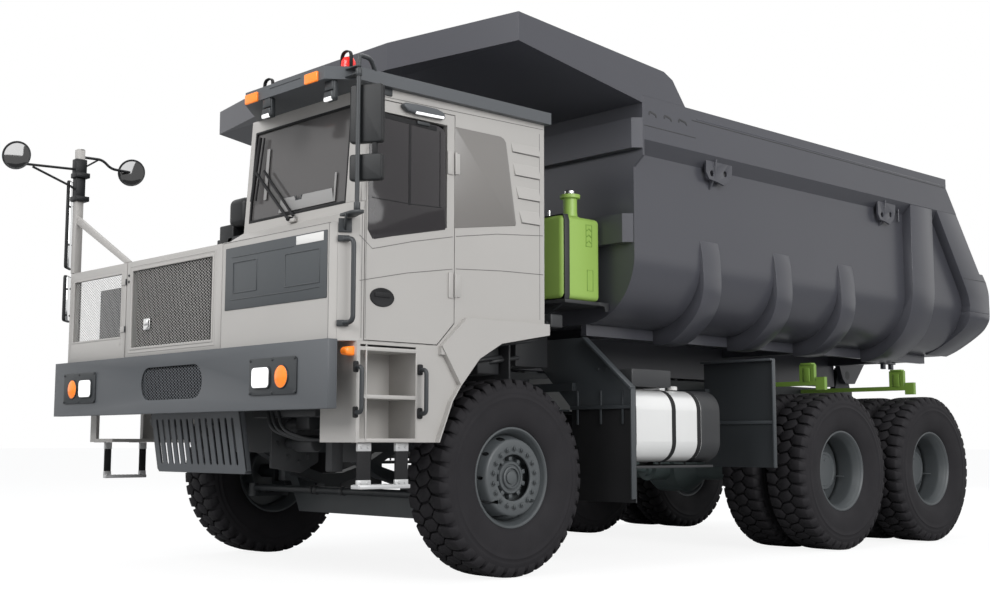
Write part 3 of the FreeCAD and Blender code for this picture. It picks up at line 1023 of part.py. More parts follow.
peaks = [pad(f"canopy_peak{n}", "XY", peak_outline, low, "canopy_wall")
         for n, low in ((1, "canopy_high - canopy_wall"), (2, "canopy_lip"))]
fascia_outline = peak_outline + [(x, f"{y} + canopy_wall") for x, y in reversed(peak_outline)]
fascia = pad("canopy_fascia", "XY", fascia_outline, "canopy_lip", "canopy_high - canopy_lip")
node("dump_canopy", fuse("canopy_whole", flank, mirror("canopy_flank_twin", flank), roof, ceiling, *peaks,
                         fascia))

tub_tool = tub_solid("tub_tool", "(-seat)", "tub_front - swing", "tail_reach + swing")


def wrap(name, outline, start, wide):
    """A stiffener around the body's lower corner, trimmed to the tub."""
    return cut(name, pad(f"{name}_blank", "XZ", outline, start, wide), tub_tool)


rib_foot = "tub_low - rib_deep"
corner_foot = [("sill_out + seat", "tub_low + play"), ("sill_out + seat", rib_foot)]
# each pair is a share of the rounding inwards from the side and a share of the height
RIB_CURVE = ((0.65, 0), (0.49, 0.05), (0.27, 0.17), (0.05, 0.325), (-0.095, 0.5), (-0.135, 0.64), (-0.09, 0.81))
HOOP_CURVE = ((0.84, 0), (0.51, 0.045), (0.11, 0.15), (-0.11, 0.275))


def bent(curve, foot, head):
    """Corners of a wrapped edge, as shares of the tub's rounding and of the rise from foot to head."""
    return [(f"tub_half - tub_round * {across}", f"{foot} + ({head} - ({foot})) * {up}")
            for across, up in curve]


rib_outline = corner_foot + bent(RIB_CURVE, rib_foot, "rib_tip")
rib_outline += [("tub_half", "rib_tip"), ("tub_half - tub_wall", "rib_tip")]
ribs = [wrap(f"rib{n}", rib_outline, f"rib_first + rib_pitch * {n} - rib_half", "2 * rib_half")
        for n in range(3)]
hoop_top = "band_low - band_out + tub_half - seat"
hoop_outline = corner_foot + bent(HOOP_CURVE, rib_foot, "band_low")
hoop_outline += [("band_out", "tub_low + tub_round"), ("band_out", "band_low - seat"), ("tub_half", hoop_top),
                 ("tub_half - tub_wall", hoop_top)]
hoop = wrap("hoop", hoop_outline, "hoop_front", "hoop_rear - hoop_front")
tail_lean = "((tail_knee - tail_top) / (lip_low - knee_z))"
bar_head = f"tail_top + (lip_low - band_low) * {tail_lean} - seat"
tail_outline = [(f"{bar_head} - tail_bar", "band_low - seat"), (bar_head, "band_low - seat"),
                ("tail_knee", "knee_z"), ("tail_reach - chin_run", "knee_z"),
                ("tail_reach", "knee_z - tail_chin"), ("tail_reach", "flare_top"),
                ("tail_reach - tail_flare", "flare_top"), ("tail_reach - tail_flare", "flare_step"),
                ("tail_knee - tail_bar", "bar_foot")]
under_band = [("tub_half - swing", "band_low - band_out + tub_half - swing - seat"),
              ("band_out + swing", "band_low + swing - seat"), ("band_out + swing", "band_high"),
              ("tub_half - swing", "band_high")]
tail_side = cut("tail_side", pad("tail_side_blank", "YZ", tail_outline, "tub_half + seat",
                                 "band_out - tub_half - seat"),
                pad("band_tool", "XZ", under_band, "tub_front", "tail_reach - tub_front"))
FLARE_CURVE = ((-0.135, 0.805), (0, 0.575), (0.24, 0.355), (0.545, 0.125))
flare_outline = [("tub_half - tub_wall", "flare_top"), ("band_out", "flare_top")]
flare_outline += bent(FLARE_CURVE, "tub_low", "flare_top")
tail_corner = wrap("tail_corner", flare_outline, "tail_reach - tail_flare", "tail_flare")
node("dump_ribs", both("ribs", group("rib_set", *ribs, hoop, fuse("tail_frame", tail_side, tail_corner))))


def sill():
    """A long beam under the floor with its hinge ear and hoist lugs."""
    main = box("sill_beam", "rail_in", "rail_out", "tub_front", "sill_rear", "sill_low", "tub_low - seat")
    side_in, foot = "sill_out - sill_wide", "tub_low - sill_deep"
    side = box("side_sill", side_in, "sill_out", "tub_front", "sill_rear + sill_run", foot, "tub_low - seat")
    ties = [box(f"sill_tie{n}", "rail_out", side_in, y, f"{y} + tie_wide", foot, "tub_low - seat")
            for n, y in enumerate(("tie_one", "tie_two", "tie_three"))]
    around = "hinge_pin + hinge_wall"
    ear = pad("hinge_ear", "YZ", [("hinge_y - body_ear_front", "tub_low - seat"),
                                  (f"hinge_y - ({around})", "hinge_z - ear_shoulder"),
                                  ("hinge_y - ear_shoulder", f"hinge_z - ({around})"),
                                  ("hinge_y + body_ear_heel", f"hinge_z - ({around})"),
                                  ("hinge_y + body_ear_rear", "tub_low - seat")],
              "rail_out + gap", "ear_wall")
    ear_bore = cylinder("ear_bore", "X", "hinge_pin + play", "ear_wall + 2 * swing", "rail_out", "hinge_y",
                        "hinge_z")
    near, far = "hoist_x - eye_half - gap", "hoist_x + eye_half + gap"
    lugs = [box(f"head_lug{n}", x0, x1, "head_y - lug_half", "head_y + lug_half", "head_z - lug_deep",
                "tub_low - seat")
            for n, x0, x1 in ((1, f"{near} - lug_wall", near), (2, far, f"{far} + lug_wall"))]
    lug_seat = box("lug_seat", f"{near} - lug_wall", "rail_in", "head_y - lug_seat", "head_y + lug_seat",
                   "tub_low - lug_plate", "tub_low - seat")
    return fuse("sill_whole", main, side, *ties, cut("ear_bored", ear, ear_bore), *lugs, lug_seat)


node("dump_sills", both("sills", sill()))

# ---------------------------------------------------------------- hoist

span = "sqrt((head_y - foot_y) * (head_y - foot_y) + (head_z - foot_z) * (head_z - foot_z))"
lean = FreeCAD.Vector(0, value("head_y - foot_y"), value("head_z - foot_z"))
UP = FreeCAD.Vector(0, 0, 1)


def along(distance):
    """The point at a distance from the hoist's foot towards its head."""
    share = f"(({distance}) / {span})"
    return ("hoist_x", f"foot_y + (head_y - foot_y) * {share}", f"foot_z + (head_z - foot_z) * {share}")


def eye(name, y, z):
    """A plain eye for a cylinder's end, across the truck."""
    return cylinder(name, "X", "eye_radius", "2 * eye_half", "hoist_x - eye_half", y, z)


tube = strut("barrel_tube", "barrel_radius", along("eye_radius - eye_lap"), along(f"{span} - barrel_short"))
tube_bore = strut("barrel_bore", "rod_radius + play", along(f"{span} - bore_deep"), along(span))
pin_bore = cylinder("foot_bore", "X", "pin_radius + play", "2 * barrel_radius + 2 * swing",
                    "hoist_x - barrel_radius - swing", "foot_y", "foot_z")
barrel = fuse("barrel_solid", eye("foot_eye", "foot_y", "foot_z"), tube)
node("hoist_barrels", both("barrels", cut("barrel_whole", barrel, tube_bore, pin_bore)))
stem = strut("rod_stem", "rod_radius", along(f"{span} - rod_inside"), along(f"{span} - rod_neck"))
neck = strut("rod_neck", "neck_bar", along(f"{span} - rod_neck"), along(f"{span} - eye_radius + eye_lap"))
node("hoist_rods", both("rods", fuse("rod_whole", stem, neck, eye("head_eye", "head_y", "head_z"))))

# ---------------------------------------------------------------- write-out

doc.recompute()
faults = [thing.Name for thing in doc.Objects if {"Invalid", "Error"} & set(thing.State)]
for thing in NODES:
    if thing.Shape.isNull() or not thing.Shape.isValid() or not thing.Shape.Solids:
        faults.append(thing.Label)
if faults:
    raise RuntimeError(f"failed objects: {faults}")
os.makedirs("parts", exist_ok=True)
for thing in NODES:
    thing.Shape.exportStep(f"parts/{thing.Label}.step")
    print(thing.Label, len(thing.Shape.Solids), round(thing.Shape.Volume / 1e9, 5))
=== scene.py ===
"""Looks of the mining dump truck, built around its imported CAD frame.

Metres, front at -Y, +X is the truck's left."""
import math

import json

import bpy
from mathutils import Matrix, Vector

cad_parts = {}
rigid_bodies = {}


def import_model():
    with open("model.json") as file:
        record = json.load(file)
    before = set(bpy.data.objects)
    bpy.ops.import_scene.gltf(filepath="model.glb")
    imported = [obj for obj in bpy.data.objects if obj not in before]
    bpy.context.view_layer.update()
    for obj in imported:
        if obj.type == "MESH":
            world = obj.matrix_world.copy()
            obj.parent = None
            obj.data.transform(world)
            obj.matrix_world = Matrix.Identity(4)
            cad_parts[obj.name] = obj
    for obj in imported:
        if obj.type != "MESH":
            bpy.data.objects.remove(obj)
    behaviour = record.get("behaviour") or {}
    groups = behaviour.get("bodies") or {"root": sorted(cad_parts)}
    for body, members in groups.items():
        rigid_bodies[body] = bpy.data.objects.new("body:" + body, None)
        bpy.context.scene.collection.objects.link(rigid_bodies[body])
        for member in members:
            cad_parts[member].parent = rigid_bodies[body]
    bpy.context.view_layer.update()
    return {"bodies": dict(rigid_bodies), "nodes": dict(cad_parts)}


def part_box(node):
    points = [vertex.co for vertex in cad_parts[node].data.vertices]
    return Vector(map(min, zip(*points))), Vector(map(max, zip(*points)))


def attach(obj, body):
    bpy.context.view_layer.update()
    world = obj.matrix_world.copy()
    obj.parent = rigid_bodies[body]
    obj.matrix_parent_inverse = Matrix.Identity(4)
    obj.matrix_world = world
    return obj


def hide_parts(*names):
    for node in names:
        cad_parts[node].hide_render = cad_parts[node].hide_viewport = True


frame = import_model()
bpy.ops.object.select_all(action="DESELECT")

wheel_low, wheel_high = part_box("front_left_wheel")
AXLE = (wheel_low.y + wheel_high.y) / 2
RADIUS = (wheel_high.z - wheel_low.z) / 2


def at(x, station, z):
    """A point whose place along the truck is measured from the front axle."""
    return (x, AXLE + station, z)


# ---------------------------------------------------------------- finishes

# finishes that are shades of one of the record's material slots
SLOTS = {"frame_steel": "black_steel", "bar_green": "green_paint", "casing_grey": "axle_grey",
         "mirror_face": "chrome", "front_glass": "glass", "door_tint": "glass", "step_silver": "tank_metal",
         "blind_panel": "glass", "lamp_orange": "glass", "lamp_white": "glass", "lamp_red": "glass",
         "mesh_paint": "cab_paint", "panel_paint": "dark_paint", "web_grey": "dark_paint",
         "seam_and_shade_grey": "cab_paint", "dash_pale": "cab_paint", "plate_white": "tank_metal",
         "mirror_black": "black_steel", "disc_glass": "chrome", "painted_shade_black": "black_steel"}


def finish(name, shade, second, grain, rough, bump=0.1, metal=0.0, gloss=0.5, alpha=1.0, fine=60.0):
    """Two close colours clouded over the piece, a roughness that follows the cloud and a fine bump."""
    made = bpy.data.materials.new(name)
    made["slot"] = SLOTS.get(name, name)
    made.use_nodes = True
    nodes, link = made.node_tree.nodes, made.node_tree.links.new
    shader = nodes["Principled BSDF"]
    place = nodes.new("ShaderNodeTexCoord")
    cloud = nodes.new("ShaderNodeTexNoise")
    cloud.inputs["Scale"].default_value = grain
    cloud.inputs["Detail"].default_value = 5
    link(place.outputs["Object"], cloud.inputs["Vector"])
    blend = nodes.new("ShaderNodeMix")
    blend.data_type = "RGBA"
    blend.inputs["A"].default_value = (*shade, 1)
    blend.inputs["B"].default_value = (*second, 1)
    link(cloud.outputs["Fac"], blend.inputs["Factor"])
    link(blend.outputs["Result"], shader.inputs["Base Color"])
    spread = nodes.new("ShaderNodeMapRange")
    spread.inputs["To Min"].default_value = rough * 0.85
    spread.inputs["To Max"].default_value = min(1, rough * 1.15)
    link(cloud.outputs["Fac"], spread.inputs["Value"])
    link(spread.outputs["Result"], shader.inputs["Roughness"])
    skin = nodes.new("ShaderNodeTexNoise")
    skin.inputs["Scale"].default_value = fine
    link(place.outputs["Object"], skin.inputs["Vector"])
    eased = nodes.new("ShaderNodeBevel")
    eased.samples = 4
    eased.inputs["Radius"].default_value = 0.004
    relief = nodes.new("ShaderNodeBump")
    relief.inputs["Strength"].default_value = bump
    link(eased.outputs["Normal"], relief.inputs["Normal"])
    relief.inputs["Distance"].default_value = 0.002
    link(skin.outputs["Fac"], relief.inputs["Height"])
    link(relief.outputs["Normal"], shader.inputs["Normal"])
    shader.inputs["Metallic"].default_value = metal
    shader.inputs["Specular IOR Level"].default_value = gloss
    shader.inputs["Alpha"].default_value = alpha
    return made


def glow(made, colour, strength):
    """Adds a lamp's own light to a finish."""
    shader = made.node_tree.nodes["Principled BSDF"]
    shader.inputs["Emission Color"].default_value = (*colour, 1)
    shader.inputs["Emission Strength"].default_value = strength
    return made


cab_paint = finish("cab_paint", (0.440, 0.425, 0.405), (0.405, 0.390, 0.372), 1.3, 0.42, 0.06)
body_paint = finish("body_paint", (0.066, 0.067, 0.078), (0.058, 0.059, 0.070), 0.9, 0.30, 0.06, gloss=0.42)
dark_paint = finish("dark_paint", (0.078, 0.084, 0.091), (0.070, 0.076, 0.083), 1.6, 0.45, 0.08)
black_steel = finish("black_steel", (0.030, 0.031, 0.033), (0.022, 0.023, 0.025), 3.0, 0.50, 0.15)
frame_steel = finish("frame_steel", (0.030, 0.034, 0.037), (0.021, 0.024, 0.027), 2.4, 0.48, 0.15)
green_paint = finish("green_paint", (0.345, 0.53, 0.118), (0.315, 0.49, 0.105), 2.0, 0.40, 0.06)
bar_green = finish("bar_green", (0.24, 0.40, 0.070), (0.19, 0.33, 0.055), 3.0, 0.42, 0.08)
tank_metal = finish("tank_metal", (0.86, 0.86, 0.85), (0.80, 0.80, 0.79), 2.2, 0.26, 0.05, metal=0.35)
tyre_rubber = finish("tyre_rubber", (0.026, 0.0245, 0.027), (0.020, 0.019, 0.021), 5.0, 0.70, 0.30,
                     gloss=0.15, fine=110)
axle_grey = finish("axle_grey", (0.086, 0.094, 0.098), (0.070, 0.078, 0.082), 4.0, 0.44, 0.20)
casing_grey = finish("casing_grey", (0.115, 0.150, 0.148), (0.080, 0.105, 0.105), 5.0, 0.55, 0.35)
rubber = finish("rubber", (0.020, 0.020, 0.021), (0.014, 0.014, 0.015), 4.0, 0.62, 0.20, gloss=0.2)
chrome = finish("chrome", (0.80, 0.80, 0.80), (0.74, 0.74, 0.74), 6.0, 0.16, 0.03, metal=1.0)
mirror_face = finish("mirror_face", (0.62, 0.63, 0.63), (0.58, 0.59, 0.59), 6.0, 0.04, 0.0, metal=1.0)
front_glass = finish("front_glass", (0.105, 0.100, 0.099), (0.100, 0.095, 0.094), 0.8, 0.10, 0.0,
                     gloss=0.4, alpha=0.86)
door_tint = finish("door_tint", (0.042, 0.039, 0.041), (0.036, 0.033, 0.035), 0.8, 0.08, 0.0, gloss=0.3,
                   alpha=0.92)
seat_fabric = finish("seat_fabric", (0.050, 0.050, 0.055), (0.036, 0.036, 0.040), 30.0, 0.90, 0.6, fine=420)
lamp_orange = glow(finish("lamp_orange", (1.0, 0.26, 0.025), (0.95, 0.22, 0.02), 9.0, 0.22),
                   (1.0, 0.22, 0.02), 0.25)
lamp_white = glow(finish("lamp_white", (0.9, 0.9, 0.9), (0.86, 0.86, 0.86), 9.0, 0.15), (1, 1, 1), 0.55)
lamp_red = glow(finish("lamp_red", (0.80, 0.02, 0.015), (0.7, 0.015, 0.012), 9.0, 0.18),
                (1.0, 0.02, 0.015), 0.3)
step_silver = finish("step_silver", (0.60, 0.60, 0.60), (0.50, 0.50, 0.50), 8.0, 0.35, 0.2, metal=0.4)
panel_paint = finish("panel_paint", (0.052, 0.058, 0.063), (0.046, 0.052, 0.057), 1.6, 0.40, 0.05)
mesh_paint = finish("mesh_paint", (0.46, 0.45, 0.43), (0.41, 0.40, 0.385), 2.0, 0.45, 0.05)
web_grey = finish("web_grey", (0.15, 0.16, 0.175), (0.13, 0.14, 0.155), 2.0, 0.45, 0.05)
# Near-black matte finish for sheets of painted shade behind the meshes.
painted_shade_black = finish("painted_shade_black", (0.006, 0.006, 0.006), (0.004, 0.004, 0.004), 3.0, 0.9, 0.05,
                     gloss=0.05)
# Darker grey for the panel seams, and also for painted shade along the creases and under the louvres.
seam_and_shade_grey = finish("seam_and_shade_grey", (0.17, 0.165, 0.16), (0.14, 0.136, 0.13), 3.0, 0.6, 0.05)
# Pale finish for the band at the windscreen's foot and for painted highlights on the glass.
dash_pale = finish("dash_pale", (0.30, 0.295, 0.29), (0.27, 0.265, 0.26), 3.0, 0.5, 0.05)
plate_white = finish("plate_white", (0.74, 0.73, 0.71), (0.70, 0.69, 0.67), 3.0, 0.35, 0.03)
mirror_black = finish("mirror_black", (0.014, 0.015, 0.016), (0.010, 0.011, 0.012), 3.0, 0.42, 0.08,
                      gloss=0.25)
disc_glass = finish("disc_glass", (0.10, 0.10, 0.10), (0.07, 0.07, 0.07), 3.0, 0.05, 0.0, metal=0.9)
blind_panel = finish("blind_panel", (0.200, 0.190, 0.180), (0.190, 0.180, 0.170), 1.0, 0.30, 0.03)


# ---------------------------------------------------------------- bench: how a piece is made


def use(piece):
    """Only this piece is selected and active."""
    bpy.ops.object.select_all(action="DESELECT")
    bpy.context.view_layer.objects.active = piece
    piece.select_set(True)


def settled(name):
    """The object just made, with its place put into its mesh."""
    piece = bpy.context.object
    piece.name = piece.data.name = name
    bpy.ops.object.transform_apply(location=True, rotation=True, scale=True)
    return piece


def modify(piece, kind, **settings):
    """One modifier, set and applied."""
    use(piece)
    change = piece.modifiers.new(kind.title(), kind)
    for key, value in settings.items():
        setattr(change, key, value)
    bpy.ops.object.modifier_apply(modifier=change.name)
    return piece


def smooth(piece, angle=35):
    """Smooth shading, with edges sharper than the angle left crisp."""
    use(piece)
    bpy.ops.object.shade_smooth_by_angle(angle=math.radians(angle))
    return piece


def soften(piece, width, steps=2, angle=35):
    """Rounds the edges that are sharper than the angle."""
    modify(piece, "BEVEL", width=width, segments=steps, limit_method="ANGLE",
           angle_limit=math.radians(angle))
    return smooth(piece, angle)


def tidy(piece):
    """Merges doubles and points the faces outwards."""
    use(piece)
    bpy.ops.object.mode_set(mode="EDIT")
    bpy.ops.mesh.select_all(action="SELECT")
    bpy.ops.mesh.remove_doubles(threshold=0.00001)
    bpy.ops.mesh.normals_make_consistent(inside=False)
    bpy.ops.object.mode_set(mode="OBJECT")
    return piece


def block(name, low, high, round_by=0.003, steps=2):
    """A block between two corners with its edges eased."""
    bpy.ops.mesh.primitive_cube_add(size=1, location=[(a + b) / 2 for a, b in zip(low, high)],
                                    scale=[b - a for a, b in zip(low, high)])
    piece = settled(name)
    return soften(piece, round_by, steps) if round_by else piece


def rod(name, start, end, radius, far=None, sides=24, round_by=0.0):
    """A round bar, or a taper where far is its other radius."""
    start, end = Vector(start), Vector(end)
    bpy.ops.mesh.primitive_cone_add(
        vertices=sides, radius1=radius, radius2=radius if far is None else far, depth=(end - start).length,
        location=(start + end) / 2, rotation=(end - start).to_track_quat("Z", "Y").to_euler())
    piece = settled(name)
    return soften(piece, round_by, 2) if round_by else smooth(piece)


def ball(name, centre, radius, squeeze=(1, 1, 1)):
    """A sphere, squeezed along its axes."""
    bpy.ops.mesh.primitive_uv_sphere_add(segments=24, ring_count=12, radius=radius, location=centre,
                                         scale=squeeze)
    return smooth(settled(name), 60)


PLANES = {"YZ": lambda a, b, deep: (deep, a, b), "XZ": lambda a, b, deep: (a, deep, b),
          "XY": lambda a, b, deep: (a, b, deep)}


def plate(name, outline, plane, near, far, round_by=0.002, steps=2):
    """A flat sheet with a drawn outline, thickened from near to far across its plane."""
    lay = PLANES[plane]
    bpy.ops.mesh.primitive_circle_add(vertices=len(outline), fill_type="NGON")
    piece = settled(name)
    for corner, (a, b) in zip(piece.data.vertices, outline):
        corner.co = lay(a, b, near)
    use(piece)
    bpy.ops.object.mode_set(mode="EDIT")
    bpy.ops.mesh.select_all(action="SELECT")
    bpy.ops.mesh.extrude_region_move(TRANSFORM_OT_translate={"value": lay(0, 0, far - near)})
    bpy.ops.object.mode_set(mode="OBJECT")
    tidy(piece)
    return soften(piece, round_by, steps) if round_by else smooth(piece)


def turned(name, profile, centre, axis="X", steps=48, closed=True):
    """A profile of (along, radius) points spun round an axis through centre."""
    bpy.ops.mesh.primitive_circle_add(vertices=len(profile), fill_type="NOTHING")
    piece = settled(name)
    lay = {"X": lambda a, r: (a, 0, r), "Y": lambda a, r: (0, a, r), "Z": lambda a, r: (r, 0, a)}[axis]
    for corner, (a, r) in zip(piece.data.vertices, profile):
        corner.co = Vector(centre) + Vector(lay(a, r))
    use(piece)
    bpy.ops.object.mode_set(mode="EDIT")
    bpy.ops.mesh.select_all(action="SELECT")
    if not closed:
        bpy.ops.mesh.select_all(action="DESELECT")
        bpy.ops.object.mode_set(mode="OBJECT")
        for edge in piece.data.edges:
            edge.select = set(edge.vertices) == {0, len(profile) - 1}
        bpy.ops.object.mode_set(mode="EDIT")
        bpy.ops.mesh.select_mode(type="EDGE")
        bpy.ops.mesh.delete(type="EDGE")
        bpy.ops.mesh.select_all(action="SELECT")
    bpy.ops.mesh.spin(steps=steps, angle=math.tau, center=centre,
                      axis={"X": (1, 0, 0), "Y": (0, 1, 0), "Z": (0, 0, 1)}[axis])
    bpy.ops.object.mode_set(mode="OBJECT")
    return smooth(tidy(piece), 40)


def rounded(points, bend):
    """The points with each corner opened into a short arc."""
    path = [Vector(points[0])]
    for before, corner, after in zip(points, points[1:], points[2:]):
        corner = Vector(corner)
        back, ahead = Vector(before) - corner, Vector(after) - corner
        reach = min(bend, back.length / 2.05, ahead.length / 2.05)
        start, end = corner + back.normalized() * reach, corner + ahead.normalized() * reach
        for step in range(7):
            t = step / 6
            path.append((1 - t) ** 2 * start + 2 * t * (1 - t) * corner + t * t * end)
    return path + [Vector(points[-1])]


def pipe(name, points, radius, bend=0.03, sides=3):
    """A bent bar or hose through the points."""
    path = rounded(points, bend)
    line = bpy.data.curves.new(name, "CURVE")
    line.dimensions = "3D"
    line.bevel_depth = radius
    line.bevel_resolution = sides
    line.use_fill_caps = True
    run = line.splines.new("POLY")
    run.points.add(len(path) - 1)
    for point, place in zip(run.points, path):
        point.co = (*place, 1)
    piece = bpy.data.objects.new(name, line)
    bpy.context.scene.collection.objects.link(piece)
    use(piece)
    bpy.ops.object.convert(target="MESH")
    return smooth(tidy(bpy.context.object), 50)


def twin(piece, name, change):
    """A copy with its own mesh, moved, turned or mirrored by a matrix."""
    made = piece.copy()
    made.data = piece.data.copy()
    made.name = made.data.name = name
    bpy.context.scene.collection.objects.link(made)
    made.data.transform(change)
    if change.determinant() < 0:
        made.data.flip_normals()
    return made


def shifted(x=0.0, y=0.0, z=0.0):
    """The matrix that moves a piece."""
    return Matrix.Translation((x, y, z))


def spun(degrees, axis, centre):
    """The matrix that turns a piece about a centre."""
    move = Matrix.Translation(centre)
    return move @ Matrix.Rotation(math.radians(degrees), 4, axis) @ move.inverted()


MIRROR = Matrix.Scale(-1, 4, (1, 0, 0))


def joined(name, pieces):
    """The pieces as one mesh."""
    use(pieces[0])
    for piece in pieces:
        piece.select_set(True)
    if len(pieces) > 1:
        bpy.ops.object.join()
    made = bpy.context.view_layer.objects.active
    made.name = made.data.name = name
    return made


def cut(piece, tool):
    """Takes the tool's shape out of the piece."""
    modify(piece, "BOOLEAN", object=tool, operation="DIFFERENCE", solver="EXACT")
    bpy.data.objects.remove(tool)
    return piece


def fit(piece, body, coat, *stands_for):
    """Gives a piece its finish and body, and hides the CAD nodes that it stands for."""
    piece.data.materials.clear()
    piece.data.materials.append(coat)
    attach(piece, body)
    if stands_for:
        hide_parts(*stands_for)
    return piece


def assemble(name, body, coat, pieces, *stands_for):
    """Join the pieces, then seat them on a body in one material."""
    return fit(joined(name, pieces), body, coat, *stands_for)


# ---------------------------------------------------------------- CAD nodes that keep their own shape

COATS = {
    cab_paint: "cab_shell nose_panel left_fender right_fender engine_deck cab_door deck_box mirror_mast",
    dark_paint: "front_bumper skid_guard cab_roof_visor",
    body_paint: "dump_tub dump_front_wall dump_canopy dump_ribs dump_sills",
    axle_grey: "front_axle_beam",
    frame_steel: "chassis_frame front_springs rear_springs left_knuckle right_knuckle tie_rod "
                 "hoist_barrels engine mud_guards steering_console radiator air_filter left_mirrors",
    casing_grey: "axle_two_casing axle_three_casing gearbox_and_shafts",
    bar_green: "rock_ejectors",
    green_paint: "hydraulic_tank",
    tank_metal: "fuel_tanks",
    chrome: "hoist_rods",
    front_glass: "cab_windows",
    door_tint: "door_glass",
}
for coat, names in COATS.items():
    for node in names.split():
        kept = frame["nodes"][node]
        kept.data.materials.clear()
        kept.data.materials.append(coat)

# ---------------------------------------------------------------- wheels

PITCHES = 40
TREAD = RADIUS
SHOULDER_ROWS = ((None, 0.0), (0.130, -0.0010), (0.178, -0.0050), (0.200, -0.0380), (0.2085, -0.0760))


def wrap(piece, thick):
    """Lays a flat block of x, share of a pitch and depth round the tyre, then gives it thickness."""
    modify(piece, "SOLIDIFY", thickness=thick, offset=-1)
    soften(piece, 0.0025, 1, 50)
    for corner in piece.data.vertices:
        x, share, deep = corner.co
        turn = share / TREAD
        corner.co = (x, (TREAD + deep) * math.sin(turn), (TREAD + deep) * math.cos(turn))
    return piece


def tread_pitch():
    """One centre block and a shoulder block each side, with zigzag grooves between them."""
    run = math.tau * TREAD / PITCHES
    slit = 0.0100
    bpy.ops.mesh.primitive_grid_add(x_subdivisions=2, y_subdivisions=2, size=1)
    centre = settled("centre_block")
    wide, narrow, skew = 0.078, 0.041, 0.010
    for corner in centre.data.vertices:
        col, row = round(corner.co.x * 2), round(corner.co.y * 2)
        half = wide if row == 0 else narrow
        corner.co = (col * half, row * (run / 2 - slit) + col * skew * (1 if row else 0.4), 0)
    wrap(centre, 0.026)
    bpy.ops.mesh.primitive_grid_add(x_subdivisions=4, y_subdivisions=2, size=1)
    shoulder = settled("shoulder_block")
    for corner in shoulder.data.vertices:
        col, row = round((corner.co.x + 0.5) * 4), round(corner.co.y * 2)
        x, deep = SHOULDER_ROWS[col]
        if x is None:
            x = 0.053 if row == 0 else 0.089
        slant = skew * (1.2 - 2.4 * col / 4)
        tight = (0, 0.002, 0.006, 0.009, 0.010)[col]
        corner.co = (x, row * (run / 2 - slit - tight) + slant, deep)
    wrap(shoulder, 0.028)
    half_step = math.degrees(run / 2 / TREAD)
    right = twin(shoulder, "shoulder_right", spun(half_step, "X", (0, 0, 0)))
    left = twin(shoulder, "shoulder_left",
                spun(half_step, "X", (0, 0, 0)) @ Matrix.Rotation(math.pi, 4, "Z"))
    bpy.data.objects.remove(shoulder)
    return joined("tread_pitch", [centre, right, left])


def make_tyre():
    """One tyre with its tread blocks, about its own axle."""
    half = [(0.150, 0.372), (0.168, 0.384), (0.188, 0.412), (0.203, 0.455), (0.212, 0.510), (0.215, 0.560),
            (0.2145, 0.596), (0.2165, 0.600), (0.2165, 0.606), (0.2135, 0.610), (0.2115, 0.634),
            (0.2125, 0.638), (0.2115, 0.644), (0.208, 0.668), (0.198, 0.694), (0.180, 0.712),
            (0.120, 0.7195), (0.0, 0.7215)]
    carcass = turned("carcass", half + [(-x, r) for x, r in reversed(half[:-1])], (0, 0, 0), "X", 96)
    pitch = tread_pitch()
    pieces = [carcass] + [twin(pitch, f"tread{n}", Matrix.Rotation(math.tau * n / PITCHES, 4, "X"))
                          for n in range(PITCHES)]
    bpy.data.objects.remove(pitch)
    return joined("tyre", pieces)


def make_rim():
    """One rim, about its own axle."""
    half = [(0.148, 0.378), (0.158, 0.385), (0.166, 0.378), (0.167, 0.368), (0.158, 0.357), (0.149, 0.353),
            (0.136, 0.347), (0.128, 0.340), (0.100, 0.335), (0.088, 0.326), (0.060, 0.322)]
    return turned("rim", half + [(-x, r) for x, r in reversed(half)], (0, 0, 0), "X", 72)


def make_nut(x, radius, angle, size=0.018, tall=0.020):
    """A wheel nut with its stud end."""
    y, z = radius * math.sin(angle), radius * math.cos(angle)
    return [rod("nut_seat", (x, y, z), (x + 0.005, y, z), size * 1.35, sides=16),
            rod("nut", (x + 0.004, y, z), (x + tall, y, z), size, sides=6, round_by=0.0015),
            rod("stud", (x + tall - 0.002, y, z), (x + tall + 0.009, y, z), size * 0.55, sides=10)]


